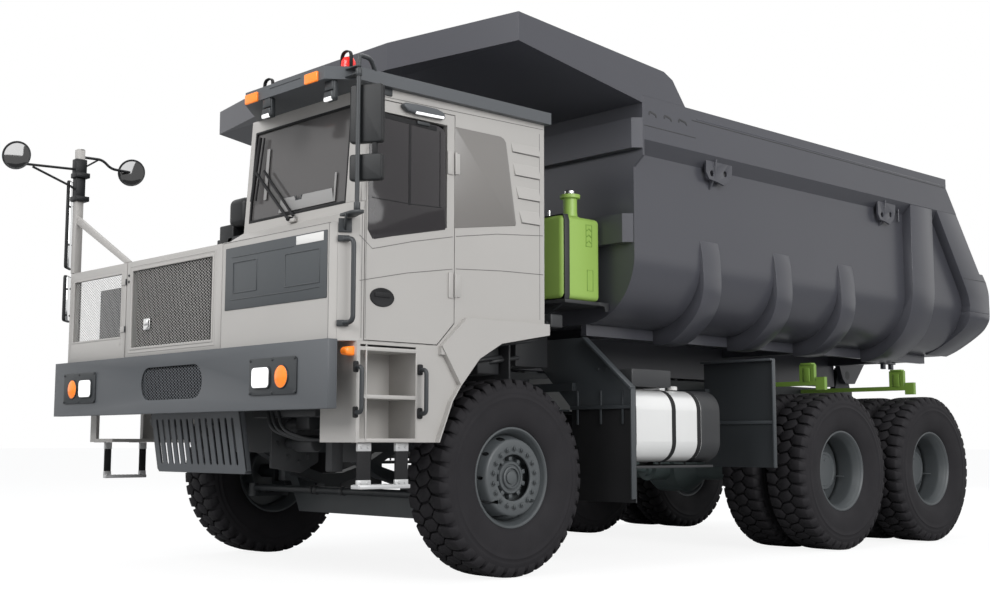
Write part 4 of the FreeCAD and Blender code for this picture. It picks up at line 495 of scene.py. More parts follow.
def make_front_disc():
    """The dished disc with its ovals and nuts, and the hub in its opening."""
    disc = turned("disc", [(0.030, 0.323), (0.060, 0.3235), (0.078, 0.3215), (0.105, 0.313), (0.150, 0.300),
                           (0.172, 0.292), (0.182, 0.284), (0.186, 0.274), (0.186, 0.186), (0.182, 0.176),
                           (0.172, 0.173), (0.172, 0.180), (0.174, 0.188), (0.174, 0.270), (0.168, 0.278),
                           (0.140, 0.288), (0.095, 0.300), (0.060, 0.308), (0.030, 0.312)], (0, 0, 0), "X",
                  72)
    slots = []
    for n in range(10):
        angle = math.tau * (n + 0.5) / 10
        y, z = 0.303 * math.sin(angle), 0.303 * math.cos(angle)
        bpy.ops.mesh.primitive_cylinder_add(vertices=20, radius=1, depth=0.2, location=(0.13, y, z),
                                            scale=(0.014, 0.030, 1), rotation=(-angle, math.pi / 2, 0))
        slots.append(settled(f"slot{n}"))
    cut(disc, joined("slots", slots))
    smooth(disc, 40)
    hub = turned("hub", [(0.020, 0.0), (0.020, 0.182), (0.098, 0.182), (0.104, 0.176), (0.104, 0.128),
                         (0.150, 0.124), (0.156, 0.118), (0.156, 0.102), (0.148, 0.098), (0.148, 0.088),
                         (0.162, 0.084), (0.166, 0.078), (0.166, 0.070), (0.150, 0.066), (0.150, 0.050),
                         (0.160, 0.048), (0.163, 0.040), (0.163, 0.0)], (0, 0, 0), "X", 48, closed=False)
    lugs = []
    for n in range(10):
        lug = block("lug", (0.100, -0.017, 0.126), (0.150, 0.017, 0.158), 0.004)
        lugs.append(twin(lug, f"lug{n}", Matrix.Rotation(math.tau * n / 10, 4, "X")))
        bpy.data.objects.remove(lug)
    nuts = [part for n in range(18) for part in make_nut(0.184, 0.219, math.tau * n / 18)]
    back = turned("back", [(0.028, 0.318), (0.034, 0.318), (0.034, 0.176), (0.028, 0.176)], (0, 0, 0), "X",
                  48)
    drum = turned("drum",
                  [(-0.105, 0.210), (-0.095, 0.216), (0.030, 0.216), (0.030, 0.196), (-0.105, 0.196)],
                  (0, 0, 0), "X", 48)
    return joined("front_disc", [disc, hub, back, drum, *lugs, *nuts])


def make_rear_hub():
    """The deep disc of the outer twin wheel with the hub end that stands out of it."""
    disc = turned("deep_disc", [(-0.118, 0.323), (-0.106, 0.323), (-0.100, 0.314), (-0.100, 0.170),
                                (-0.112, 0.170), (-0.112, 0.314)], (0, 0, 0), "X", 60)
    hub = turned("hub_end", [(-0.110, 0.196), (-0.092, 0.196), (-0.086, 0.190), (-0.036, 0.186),
                             (-0.026, 0.178), (-0.026, 0.156), (-0.029, 0.153), (-0.029, 0.149),
                             (-0.026, 0.146), (-0.026, 0.0)], (0, 0, 0), "X", 60, closed=False)
    plug = rod("plug", (-0.027, 0.0, 0.098), (-0.020, 0.0, 0.098), 0.010, sides=6, round_by=0.0015)
    valve = pipe("valve", [(-0.09, 0.262, -0.06), (-0.04, 0.272, -0.06), (0.0, 0.290, -0.062)], 0.007)
    nuts = [part for n in range(10) for part in make_nut(-0.101, 0.235, math.tau * (n + 0.5) / 10, 0.016)]
    return joined("rear_hub", [disc, hub, plug, valve, *nuts])


def make_brake_drum():
    """The inner twin wheel's drum, seen from under the truck."""
    return turned("drum", [(-0.14, 0.215), (-0.13, 0.222), (0.118, 0.222), (0.118, 0.322), (0.106, 0.322),
                           (0.106, 0.205), (-0.14, 0.205)], (0, 0, 0), "X", 48)


tyre, rim, front_disc = make_tyre(), make_rim(), make_front_disc()
rear_hub, brake_drum = make_rear_hub(), make_brake_drum()

for body in [name for name in frame["bodies"] if name.endswith(("wheel", "wheels"))]:
    low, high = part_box(body)
    side = Matrix.Identity(4) if low.x > 0 else MIRROR
    hub_centre = shifted(0, (low.y + high.y) / 2, (low.z + high.z) / 2)
    middle = (abs(low.x) + abs(high.x)) / 2
    front = body.endswith("wheel")
    half_pitch = 0 if front else 0.255
    for n, x in enumerate([middle] if front else [middle + half_pitch, middle - half_pitch]):
        place = side @ hub_centre @ shifted(x)
        turn = Matrix.Rotation(math.radians(4 * n), 4, "X")
        stands_for = (body,) if n == 0 else ()
        fit(twin(tyre, f"{body}_tyre{n}", place @ turn), body, tyre_rubber, *stands_for)
        fit(twin(rim, f"{body}_rim{n}", place), body, axle_grey)
        centre = front_disc if front else (rear_hub, brake_drum)[n]
        fit(twin(centre, f"{body}_centre{n}", place), body, axle_grey)
for pattern in (tyre, rim, front_disc, rear_hub, brake_drum):
    bpy.data.objects.remove(pattern)

# ---------------------------------------------------------------- outlines shared by several pieces


def side(points):
    """Points of (station, height) as corners for a sheet in the YZ plane."""
    return [(AXLE + station, z) for station, z in points]


def pill(a0, a1, b0, b1, radius, steps=6):
    """A rectangle with round corners."""
    outline = []
    for ca, cb, start in ((a1 - radius, b1 - radius, 0), (a0 + radius, b1 - radius, 90),
                          (a0 + radius, b0 + radius, 180), (a1 - radius, b0 + radius, 270)):
        for n in range(steps + 1):
            angle = math.radians(start + 90 * n / steps)
            outline.append((ca + radius * math.cos(angle), cb + radius * math.sin(angle)))
    return outline


def ribbon(name, points, plane, near, far, wide, round_by=0.0):
    """A narrow strip along a line of points across a flat face."""
    left, right = [], []
    for n, point in enumerate(points):
        before, after = Vector(points[max(n - 1, 0)]), Vector(points[min(n + 1, len(points) - 1)])
        across = (after - before).normalized()
        off = Vector((-across.y, across.x)) * wide / 2
        left.append(tuple(Vector(point) + off))
        right.append(tuple(Vector(point) - off))
    return plate(name, left + right[::-1], plane, near, far, round_by)


def open_frame(name, outer, inner, front, rear, round_by=0.004):
    """A rectangular frame across the front: sides and levels of its outside and of its opening."""
    x0, x1, z0, z1 = outer
    a0, a1, b0, b1 = inner
    whole = block(name, (x0, front, z0), (x1, rear, z1), 0)
    cut(whole, block("opening", (a0, front - 0.1, b0), (a1, rear + 0.1, b1), 0))
    return soften(whole, round_by)


def honeycomb(name, x0, x1, z0, z1, front, pitch=0.024, web=0.0021, thick=0.0015):
    """A sheet of six-sided holes across the front."""
    radius = pitch / math.sqrt(3)
    bpy.ops.mesh.primitive_circle_add(vertices=6, fill_type="NGON")
    cell = settled(name)
    for n, corner in enumerate(cell.data.vertices):
        angle = math.radians(60 * n)
        corner.co = (x0 + radius * math.cos(angle), front, z0 + radius * math.sin(angle))
    use(cell)
    bpy.ops.object.mode_set(mode="EDIT")
    bpy.ops.mesh.select_all(action="SELECT")
    bpy.ops.mesh.inset(thickness=web)
    bpy.ops.mesh.delete(type="FACE")
    bpy.ops.object.mode_set(mode="OBJECT")
    sheet = joined(name, [cell, twin(cell, "next_cell", shifted(radius * 1.5, 0, pitch / 2))])
    for step, run in (((radius * 3, 0, 0), x1 - x0), ((0, 0, pitch), z1 - z0)):
        modify(sheet, "ARRAY", count=max(1, int(run / max(step))), use_relative_offset=False,
               use_constant_offset=True, constant_offset_displace=step)
    tidy(sheet)
    return modify(sheet, "SOLIDIFY", thickness=thick, offset=0)


def bolt(name, place, axis, size=0.011, tall=0.007):
    """A six-sided head on its washer, standing out along an axis."""
    place, axis = Vector(place), Vector(axis).normalized()
    return [rod(name, place, place + axis * tall * 0.4, size * 1.5, sides=14),
            rod(name, place + axis * tall * 0.3, place + axis * tall * 1.4, size, sides=6)]


FRONT, LEFT = (0, -1, 0), (1, 0, 0)

# ---------------------------------------------------------------- front bumper and skid guard

FACE = AXLE - 1.906
OVAL = (-0.470, 0.436, 1.332, 1.584)
bumper = block("bumper_skin", (-2.0, FACE, 1.228), (2.0, FACE + 0.076, 1.684), 0)
cut(bumper, block("hollow", (-1.99, FACE + 0.010, 1.238), (1.99, FACE + 0.2, 1.674), 0))
cut(bumper, plate("oval", pill(*OVAL, 0.118, 8), "XZ", FACE - 0.05, FACE + 0.05, 0))
soften(bumper, 0.006, 3)
arms = [block(f"bumper_arm{n}", (x, FACE + 0.008, 1.32), (x + 0.11, FACE + 0.20, 1.58), 0.004)
        for n, x in ((1, 0.52), (2, -0.66))]
assemble("bumper", "chassis", dark_paint, [bumper, *arms], "front_bumper")
fit(honeycomb("bumper_mesh", -0.49, 0.46, 1.315, 1.600, FACE + 0.012), "chassis", web_grey)
# A near-black sheet behind the bumper mesh: painted shade for the dark space behind it.
fit(block("bumper_mesh_painted_shade", (-0.48, FACE + 0.040, 1.31), (0.45, FACE + 0.046, 1.61), 0.002), "chassis",
    painted_shade_black)


def lamp_pod(shift, mirrored):
    """A bumper lamp plate with its square lamp, round indicator, bezels and bolts."""
    change = shifted(shift) @ (MIRROR if mirrored else Matrix.Identity(4))
    place = "right" if mirrored else "left"
    base = plate("pod", pill(1.090, 1.660, 1.330, 1.586, 0.030), "XZ", FACE - 0.012, FACE + 0.001, 0.004)
    heads = [part for x in (1.106, 1.375, 1.644) for z in (1.344, 1.572)
             for part in bolt("pod_bolt", (x, FACE - 0.012, z), FRONT, 0.008, 0.005)]
    pieces = [assemble(f"{place}_lamp_pod", "chassis", frame_steel, [base, *heads])]
    bezel = plate("bezel", pill(1.137, 1.357, 1.374, 1.529, 0.036), "XZ", FACE - 0.024, FACE - 0.010, 0.003)
    ring = turned("ring",
                  [(-0.020, 0.082), (-0.022, 0.079), (-0.020, 0.076), (-0.010, 0.076), (-0.010, 0.084)],
                  (1.490, FACE, 1.452), "Y", 40)
    pieces.append(assemble(f"{place}_lamp_bezels", "chassis", frame_steel, [bezel, ring]))
    lens = plate("lens", pill(1.145, 1.349, 1.382, 1.521, 0.030), "XZ", FACE - 0.030, FACE - 0.020, 0.004)
    pieces.append(fit(lens, "chassis", lamp_white))
    lens.name = lens.data.name = f"{place}_square_lens"
    dome = turned("dome", [(-0.012, 0.0), (-0.036, 0.0), (-0.034, 0.035), (-0.028, 0.060), (-0.020, 0.0765),
                           (-0.010, 0.0765)], (1.490, FACE, 1.452), "Y", 40, closed=False)
    pieces.append(fit(dome, "chassis", lamp_orange))
    dome.name = dome.data.name = f"{place}_indicator"
    for piece in pieces:
        piece.data.transform(change)
        if mirrored:
            piece.data.flip_normals()


lamp_pod(0, False)
lamp_pod(-0.137, True)

SKID = AXLE - 1.606
LEAN = 0.165
skid = plate("skid_face", [(-0.630, 0.775), (0.630, 0.775), (0.650, 0.800), (0.650, 1.297), (-0.650, 1.297),
                           (-0.650, 0.800)], "XZ", SKID, SKID + 0.012, 0)
slots = [plate(f"slot{n}", pill(x - 0.016, x + 0.016, 0.838, 1.192, 0.0155, 4), "XZ", SKID - 0.05,
               SKID + 0.05, 0)
         for n, x in enumerate(-0.565 + 0.0924 * step for step in range(13))]
cut(skid, joined("slots", slots))
soften(skid, 0.002, 1)
walls = [block(f"skid_wall{n}", (x, SKID, 0.795), (x + 0.012, SKID + 0.050, 1.297), 0.002)
         for n, x in ((1, 0.638), (2, -0.650))]
sill_bar = block("skid_sill", (-0.63, SKID + 0.010, 0.776), (0.63, SKID + 0.060, 0.790), 0.004)
guard = joined("skid", [skid, *walls, sill_bar])
for corner in guard.data.vertices:
    corner.co.y -= LEAN * (corner.co.z - 0.99) + 0.045
    corner.co.x -= 0.040
fit(guard, "chassis", dark_paint, "skid_guard")

# ---------------------------------------------------------------- mesh screens and nose

SCREEN = AXLE - 1.826
BEHIND = AXLE - 1.781
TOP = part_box("fence_screen")[1].z

fence = open_frame("fence_frame", (-1.905, -0.916, 1.685, TOP), (-1.850, -0.990, 1.865, 2.392),
                   SCREEN, BEHIND)
fence_lip = open_frame("fence_lip", (-1.862, -0.978, 1.853, 2.404), (-1.846, -0.994, 1.869, 2.388),
                       SCREEN - 0.003, SCREEN + 0.006, 0.0015)
fence_fold = block("fence_fold", (-1.944, SCREEN + 0.004, 1.685), (-1.900, BEHIND, TOP), 0.004)
fence_toe = block("fence_toe", (-1.0, SCREEN - 0.002, 1.800), (-0.985, SCREEN + 0.004, 1.862), 0.001)
leaves = [block(f"fence_leaf{n}", (-0.990, SCREEN - 0.008, z), (-0.922, SCREEN, z + 0.05), 0.002)
          for n, z in ((1, 1.90), (2, 2.29))]
assemble("fence_panel", "chassis", cab_paint, [fence, fence_lip, fence_fold, fence_toe, *leaves],
         "fence_screen")
fit(honeycomb("fence_mesh", -1.850, -0.985, 1.860, 2.400, SCREEN + 0.014), "chassis", mesh_paint)

door = open_frame("grille_frame", (-0.904, 0.552, 1.691, TOP), (-0.822, 0.436, 1.752, 2.409), SCREEN,
                  BEHIND)
rim = open_frame("grille_rim", (-0.826, 0.440, 1.748, 2.413), (-0.806, 0.420, 1.768, 2.393),
                 SCREEN - 0.004, SCREEN + 0.012, 0.002)
channel = open_frame("grille_channel", (-0.850, 0.468, 1.722, 2.438), (-0.840, 0.458, 1.732, 2.428),
                     SCREEN - 0.002, SCREEN + 0.004, 0.001)
assemble("grille_panel", "grille_door", cab_paint, [door, rim, channel], "grille_door")
fit(honeycomb("grille_mesh", -0.815, 0.430, 1.760, 2.410, SCREEN + 0.014), "grille_door", mesh_paint)
barrels = [rod(f"grille_barrel{n}", (-0.910, SCREEN - 0.006, z), (-0.910, SCREEN - 0.006, z + 0.05), 0.006)
           for n, z in ((1, 1.90), (2, 2.29))]
dots = [part for z in (2.362, 2.312) for part in bolt("hinge_dot", (-0.870, SCREEN, z), FRONT, 0.008,
                                                      0.005)]
assemble("grille_hinges", "grille_door", frame_steel, [*barrels, *dots])
catch = [plate("catch_plate", pill(-0.602, -0.507, 1.898, 1.990, 0.010), "XZ", SCREEN - 0.004,
               SCREEN + 0.012, 0.001),
         block("catch_paddle", (-0.585, SCREEN - 0.010, 1.935), (-0.540, SCREEN - 0.003, 1.980), 0.002)]
assemble("grille_catch", "grille_door", chrome, catch)
fit(plate("catch_slot", pill(-0.530, -0.514, 1.915, 1.975, 0.007), "XZ", SCREEN - 0.0046, SCREEN - 0.003,
          0),
    "grille_door", rubber)

fit(block("deck_post", (-1.935, AXLE - 1.765, 1.73), (-1.905, AXLE - 1.735, 2.44), 0.004), "chassis",
    frame_steel)
# A near-black sheet behind the grille mesh: painted shade that hides the radiator's edge.
fit(block("grille_painted_shade", (-0.83, AXLE - 1.766, 1.745), (0.445, AXLE - 1.762, 2.415), 0.001),
    "grille_door", painted_shade_black)
locker_low, locker_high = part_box("deck_box")
locker = [block("locker", tuple(locker_low), tuple(locker_high), 0.012, 3),
          block("locker_lid", (locker_low.x, locker_low.y, locker_high.z - 0.05),
                (locker_high.x, locker_high.y, locker_high.z - 0.046), 0.001)]
assemble("deck_locker", "chassis", dark_paint, locker, "deck_box")

panel = plate("nose_dark", pill(0.608, 1.868, 1.966, 2.425, 0.006, 2), "XZ", SCREEN - 0.005,
              SCREEN + 0.001, 0.0015)
borders = [open_frame(f"border{n}", (x0, x1, z0, z1), (x0 + 0.008, x1 - 0.008, z0 + 0.008, z1 - 0.008),
                      SCREEN - 0.009, SCREEN - 0.004, 0.0015)
           for n,
           (x0, x1, z0, z1) in enumerate(((0.710, 1.025, 2.084, 2.316), (1.375, 1.790, 2.073, 2.310)))]
lines = [ribbon("panel_line", [(0.690, 2.040), (1.560, 2.040), (1.79, 2.046)], "XZ", SCREEN - 0.008,
                SCREEN - 0.004,
                0.006, 0.001),
         ribbon("panel_line_top", [(0.690, 2.352), (1.480, 2.352)], "XZ", SCREEN - 0.008, SCREEN - 0.004,
                0.005, 0.001)]
assemble("nose_dark_panel", "chassis", panel_paint, [panel, *borders, *lines])
tag = plate("nose_plate", pill(1.511, 1.830, 2.356, 2.417, 0.004, 2), "XZ", SCREEN - 0.008, SCREEN - 0.004,
            0.001)
rivets = [rod("rivet", (x, SCREEN - 0.0095, 2.3865), (x, SCREEN - 0.007, 2.3865), 0.004, sides=10)
          for x in (1.521, 1.820)]
assemble("nose_blank_plate", "chassis", plate_white, [tag, *rivets])
seams = [ribbon("nose_top_seam", [(0.56, TOP - 0.006), (1.90, TOP - 0.006)], "XZ", SCREEN - 0.001,
                SCREEN + 0.002, 0.004),
         ribbon("nose_side_seam", [(1.884, 1.69), (1.884, TOP - 0.006)], "XZ", SCREEN - 0.001,
                SCREEN + 0.002, 0.004)]
assemble("nose_seams", "chassis", seam_and_shade_grey, seams)

# ---------------------------------------------------------------- cab: side, door and louvres

SIDE = 2.000
RAKE = 0.06 / 0.862


def on_screen(x, z, off=0.0):
    """A point on the raked windscreen plane, or a little in front of it."""
    return at(x, -1.625 + (z - 2.575) * RAKE - off, z)


# The crease ribbons are painted shade: darker lines where the side sheet bends. The door front seam is a
# panel joint.
creases = [
    ribbon("crease_upper", side([(-1.662, 2.391), (-1.552, 2.309), (-1.20, 2.395), (-0.83, 2.468)]), "YZ",
           SIDE - 0.001, SIDE + 0.0012, 0.005),
    ribbon("crease_lower", side([(-1.657, 2.084), (-1.25, 2.170), (-0.832, 2.235)]), "YZ", SIDE - 0.001,
           SIDE + 0.0012, 0.005),
    ribbon("door_front_seam", side([(-1.606, 1.70), (-1.606, 2.84)]), "YZ", SIDE - 0.001, SIDE + 0.0008,
           0.004)]
assemble("door_crease_shades", "cab_door", seam_and_shade_grey, creases)
# The rear crease ribbons are painted shade along the bends. The gutter line and the corner seams mark panel
# edges.
cab_lines = [
    ribbon("crease_upper_rear", side([(-0.80, 2.474), (-0.40, 2.535), (0.085, 2.575)]), "YZ", SIDE - 0.001,
           SIDE + 0.0012, 0.005),
    ribbon("crease_lower_rear", side([(-0.80, 2.240), (-0.35, 2.266), (0.085, 2.276)]), "YZ", SIDE - 0.001,
           SIDE + 0.0012, 0.005),
    ribbon("gutter_line", side([(-1.48, 3.374), (0.085, 3.400)]), "YZ", SIDE - 0.001, SIDE + 0.0012, 0.004),
    ribbon("corner_seam", side([(-1.640, 1.70), (-1.640, 2.55)]), "YZ", SIDE - 0.001, SIDE + 0.0008, 0.004),
    ribbon("rear_corner_seam", side([(0.050, 1.93), (0.050, 3.36)]), "YZ", SIDE - 0.001, SIDE + 0.0012,
           0.003)]
assemble("cab_crease_shades_and_seams", "chassis", seam_and_shade_grey, cab_lines)

louvres = []
for n, (top, foot) in enumerate((((-0.254, 3.250), (-0.242, 3.179)), ((-0.233, 3.096), (-0.215, 3.005)),
                                 ((-0.203, 2.922), (-0.180, 2.833)), ((-0.173, 2.746), (-0.145, 2.651)))):
    outline = side([top, (0.046, top[1]), (0.046, foot[1]), foot])
    blade = plate(f"louvre{n}", outline, "YZ", SIDE - 0.002, SIDE + 0.013, 0)
    for corner in blade.data.vertices:
        if corner.co.x > SIDE and corner.co.z > foot[1] + 0.02:
            corner.co.x = SIDE + 0.001
    louvres.append(soften(blade, 0.003, 2, 20))
assemble("cab_louvres", "chassis", cab_paint, louvres)
# A painted shadow line under the foot of each louvre.
fit(joined("louvre_shadows", [
    ribbon(f"louvre_foot{n}", side([(y, z), (0.046, z)]), "YZ", SIDE - 0.001, SIDE + 0.002, 0.005)
    for n, (y, z) in enumerate(((-0.242, 3.176), (-0.215, 3.002), (-0.180, 2.830), (-0.145, 2.648)))]),
    "chassis", seam_and_shade_grey)

rear_panel = plate("rear_side_panel",
                   side([(-0.817, 2.532), (-0.817, 3.262), (-0.800, 3.272), (-0.362, 3.273),
                                            (-0.330, 3.262), (-0.307, 3.237), (-0.203, 2.640),
                         (-0.207, 2.622),
                                            (-0.225, 2.617)]), "YZ", SIDE - 0.004, SIDE + 0.003, 0.0015)
fit(rear_panel, "chassis", blind_panel)

glass_line = side([(-0.902, 3.205), (-0.930, 3.236), (-0.975, 3.250), (-1.479, 3.262), (-1.590, 3.262),
                   (-1.595, 2.436), (-1.553, 2.376), (-0.905, 2.510), (-0.897, 2.525)])
pane = plate("door_pane_outer", glass_line, "YZ", SIDE - 0.016, SIDE + 0.0015, 0.001)
fit(pane, "cab_door", door_tint, "door_glass")
bars = [ribbon("slider_post", side([(-1.233, 2.648), (-1.233, 3.215)]), "YZ", SIDE + 0.001, SIDE + 0.004,
               0.020, 0.001),
        ribbon("slider_rail", side([(-1.560, 2.66), (-1.233, 2.655), (-0.929, 2.665)]), "YZ", SIDE + 0.001,
               SIDE + 0.003,
               0.006),
        ribbon("slider_edge", side([(-0.955, 2.665), (-0.955, 3.215)]), "YZ", SIDE + 0.001, SIDE + 0.003,
               0.006)]
assemble("door_slider", "cab_door", rubber, bars)
# A dark strip of painted shade along the top of the door glass.
fit(ribbon("door_painted_shade", side([(-1.50, 3.246), (-0.99, 3.226)]), "YZ", SIDE + 0.001, SIDE + 0.003, 0.034),
    "cab_door",
    rubber)

handle = turned("handle_cup", [(-0.002, 0.0), (0.003, 0.0), (0.004, 0.070), (0.008, 0.086), (0.008, 0.096),
                               (0.002, 0.102), (-0.002, 0.102)], (SIDE, 0, 0), "X", 40, closed=False)
handle.data.transform(Matrix.Diagonal((1, 1.03, 0.64, 1)))
handle.data.transform(shifted(0, AXLE - 1.465, 1.984))
paddle = block("handle_paddle", (SIDE + 0.002, AXLE - 1.53, 1.985), (SIDE + 0.009, AXLE - 1.40, 2.020),
               0.003)
assemble("door_handle", "cab_door", rubber, [handle, paddle])

for name, body in (("cab_shell", "chassis"), ("cab_door", "cab_door")):
    skin = twin(frame["nodes"][name], f"{name}_skin", Matrix.Identity(4))
    for low, high in ((2.03, 2.22), (3.00, 3.19)):
        cut(skin, block("leaf_room", at(SIDE + 0.0006, -0.91, low), at(SIDE + 0.04, -0.72, high), 0))
    fit(smooth(skin, 8), body, cab_paint, name)
hinges = []
for n, (y0, y1, z0, z1) in enumerate(((-0.886, -0.828, 2.915, 3.083), (-0.874, -0.828, 2.026, 2.207))):
    hinges.append(block(f"door_leaf{n}", (SIDE, AXLE + y0, z0), (SIDE + 0.010, AXLE + y1, z1), 0.003))
assemble("door_hinge_leaves", "cab_door", cab_paint, hinges)
fixed = []
for n, (y1, z0, z1) in enumerate(((-0.772, 2.925, 3.075), (-0.763, 2.036, 2.197))):
    fixed.append(block(f"post_leaf{n}", (SIDE, AXLE - 0.800, z0), (SIDE + 0.011, AXLE + y1, z1), 0.003))
    fixed.append(rod(f"hinge_pin{n}", (SIDE + 0.012, AXLE - 0.812, z0 - 0.005),
                     (SIDE + 0.012, AXLE - 0.812, z1 + 0.005), 0.0095, round_by=0.002))
assemble("post_hinge_leaves", "chassis", cab_paint, fixed)

awning = plate("awning_lamp",
               side([(-1.329, 3.333), (-1.305, 3.357), (-1.20, 3.362), (-1.02, 3.362), (-0.950, 3.345),
                                    (-0.934, 3.306), (-0.950, 3.296), (-1.180, 3.292), (-1.283, 3.300)]),
               "YZ",
               SIDE - 0.002, SIDE + 0.045, 0.012, 3)
fit(awning, "chassis", dark_paint)
awning.name = "awning_lamp"
fit(ribbon("awning_lens", side([(-1.213, 3.300), (-1.05, 3.303), (-0.955, 3.306)]), "YZ", SIDE + 0.030,
           SIDE + 0.0475, 0.018, 0.004), "chassis", lamp_white)
vent = [block("vent_lip", (SIDE - 0.002, AXLE - 1.178, 3.230), (SIDE + 0.016, AXLE - 1.063, 3.254), 0.003)]
assemble("door_top_clip", "chassis", frame_steel, vent)

# ---------------------------------------------------------------- cab: windscreen, wipers and visor

WIND = math.degrees(math.atan(RAKE))
foot = on_screen(0, 2.645)


def on_rake(piece):
    """Leans a piece built upright at the windscreen's foot back onto its plane."""
    piece.data.transform(spun(-WIND, "X", foot))
    return piece


GLASS = foot[1]
screen_edge = open_frame("screen_rubber", (0.580, 1.786, 2.641, 3.346), (0.598, 1.770, 2.660, 3.330),
                         GLASS - 0.003, GLASS + 0.008, 0.001)
fit(on_rake(screen_edge), "chassis", rubber)
pillar = plate("pillar_cover", pill(1.784, 1.882, 2.640, 3.348, 0.004, 2), "XZ", GLASS - 0.002,
               GLASS + 0.004, 0.001)
fit(on_rake(pillar), "chassis", cab_paint)
# A pale band at the glass's foot, and two narrow pale strips that are painted highlights on the glass.
band = plate("dash_band", [(0.965, 2.672), (0.985, 2.778), (1.150, 2.776), (1.175, 2.750), (1.245, 2.750),
                           (1.262, 2.775), (1.610, 2.772), (1.640, 2.672)], "XZ", GLASS - 0.0015,
             GLASS + 0.004, 0.001)
strips = [block("pillar_gleam", (0.752, GLASS - 0.0015, 2.80), (0.790, GLASS + 0.004, 3.19), 0.001),
          block("post_gleam", (1.636, GLASS - 0.0015, 2.672), (1.656, GLASS + 0.004, 2.880), 0.001)]
fit(on_rake(joined("dash_band_and_gleams", [band, *strips])), "chassis", dash_pale)
tab = open_frame("dash_tab", (1.172, 1.250, 2.742, 2.778), (1.182, 1.240, 2.752, 2.778), GLASS - 0.003,
                 GLASS + 0.003, 0.001)
fit(on_rake(tab), "chassis", frame_steel)


def wiper(pivot, tip, blade_low, blade_high):
    """A spring arm on its spindle with the blade it carries."""
    return [rod("spindle", on_screen(*pivot, -0.02), on_screen(*pivot, 0.045), 0.017, round_by=0.003),
            pipe("arm", [on_screen(*pivot, 0.038), on_screen(*tip, 0.030)], 0.012),
            pipe("arm_twin", [on_screen(pivot[0] + 0.062, pivot[1] + 0.014, 0.036),
                              on_screen(tip[0] + 0.125, tip[1] - 0.015, 0.030)], 0.010),
            pipe("blade_spine", [on_screen(*blade_low, 0.030), on_screen(*blade_high, 0.030)], 0.014),
            pipe("blade_edge", [on_screen(blade_low[0] + 0.030, blade_low[1] + 0.004, 0.014),
                                on_screen(blade_high[0] + 0.030, blade_high[1] - 0.004, 0.014)], 0.007)]


assemble("wiper", "chassis", rubber, wiper((1.150, 2.606), (0.652, 3.030), (0.640, 2.800), (0.690, 3.285)))
mount = block("wiper_mount", at(1.14, -1.655, 2.578), at(1.22, -1.625, 2.606), 0.006)
fit(mount, "chassis", cab_paint)

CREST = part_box("cab_roof_visor")[1].z
lamps, amber = [], []
for n, (x0, x1, front) in enumerate(((0.948, 1.103, -1.900), (1.686, 1.834, -1.900))):
    amber.append(plate(f"marker{n}", pill(x0, x1, 3.434, 3.504, 0.010), "XZ", AXLE + front - 0.016,
                       AXLE + front + 0.004, 0.005))
assemble("marker_lamps", "chassis", lamp_orange, amber)
white_lens = []
for x0, x1, front in ((1.146, 1.250, -1.895), (1.830, 1.930, -1.850)):
    lamps += [block("work_bracket", at(x0 + 0.004, front, 3.372), at(x1 - 0.006, front + 0.045, 3.442),
                    0.006),
              block("work_body", at(x0, front - 0.006, 3.300), at(x1, front + 0.050, 3.366), 0.012, 3),
              block("work_hinge", at(x1 - 0.012, front + 0.008, 3.312),
                    at(x1 + 0.006, front + 0.040, 3.430), 0.004)]
    white_lens.append(block("work_lens", at(x0 + 0.008, front - 0.010, 3.296),
                            at(x1 - 0.010, front + 0.01, 3.324),
                            0.006, 3))
assemble("work_lamps", "chassis", frame_steel, lamps)
assemble("work_lamp_lenses", "chassis", lamp_white, white_lens)


def hoop_guard(x, station, tall):
    """A bent flat bar over a roof lamp."""
    half, deep = 0.052, 0.026
    spine = rounded([(x - half, 0, CREST), (x - half, 0, CREST + tall), (x + half, 0, CREST + tall),
                     (x + half, 0, CREST)], 0.065)
    flat = ribbon("hoop", [(p.x, p.z) for p in spine], "XZ", AXLE + station, AXLE + station + deep, 0.009,
                  0.0015)
    return [flat, block("hoop_foot", at(x - half - 0.015, station, CREST - 0.001),
                        at(x + half + 0.015, station + deep, CREST + 0.006), 0.002)]


assemble("hoop_guards", "chassis", rubber,
         hoop_guard(1.062, -1.80, 0.100) + hoop_guard(1.915, -1.74, 0.132))
beacon = turned("beacon",
                [(0.0, 0.0), (0.0, 0.052), (0.012, 0.055), (0.072, 0.050), (0.098, 0.036), (0.108, 0.0)],
                at(1.885, -1.690, CREST), "Z", 32, closed=False)
fit(beacon, "chassis", lamp_red)
# The groove across the visor's front is a dark strip of painted shade.
roof_lines = [ribbon("roof_groove_shade", [(1.25, 3.498), (1.62, 3.498)], "XZ", AXLE - 1.9025, AXLE - 1.899,
                     0.004),
              block("visor_bracket", at(1.985, -1.50, 3.385), at(2.012, -1.40, 3.438), 0.004)]
assemble("visor_details", "chassis", frame_steel, roof_lines)

# ---------------------------------------------------------------- left mirrors and grab handle

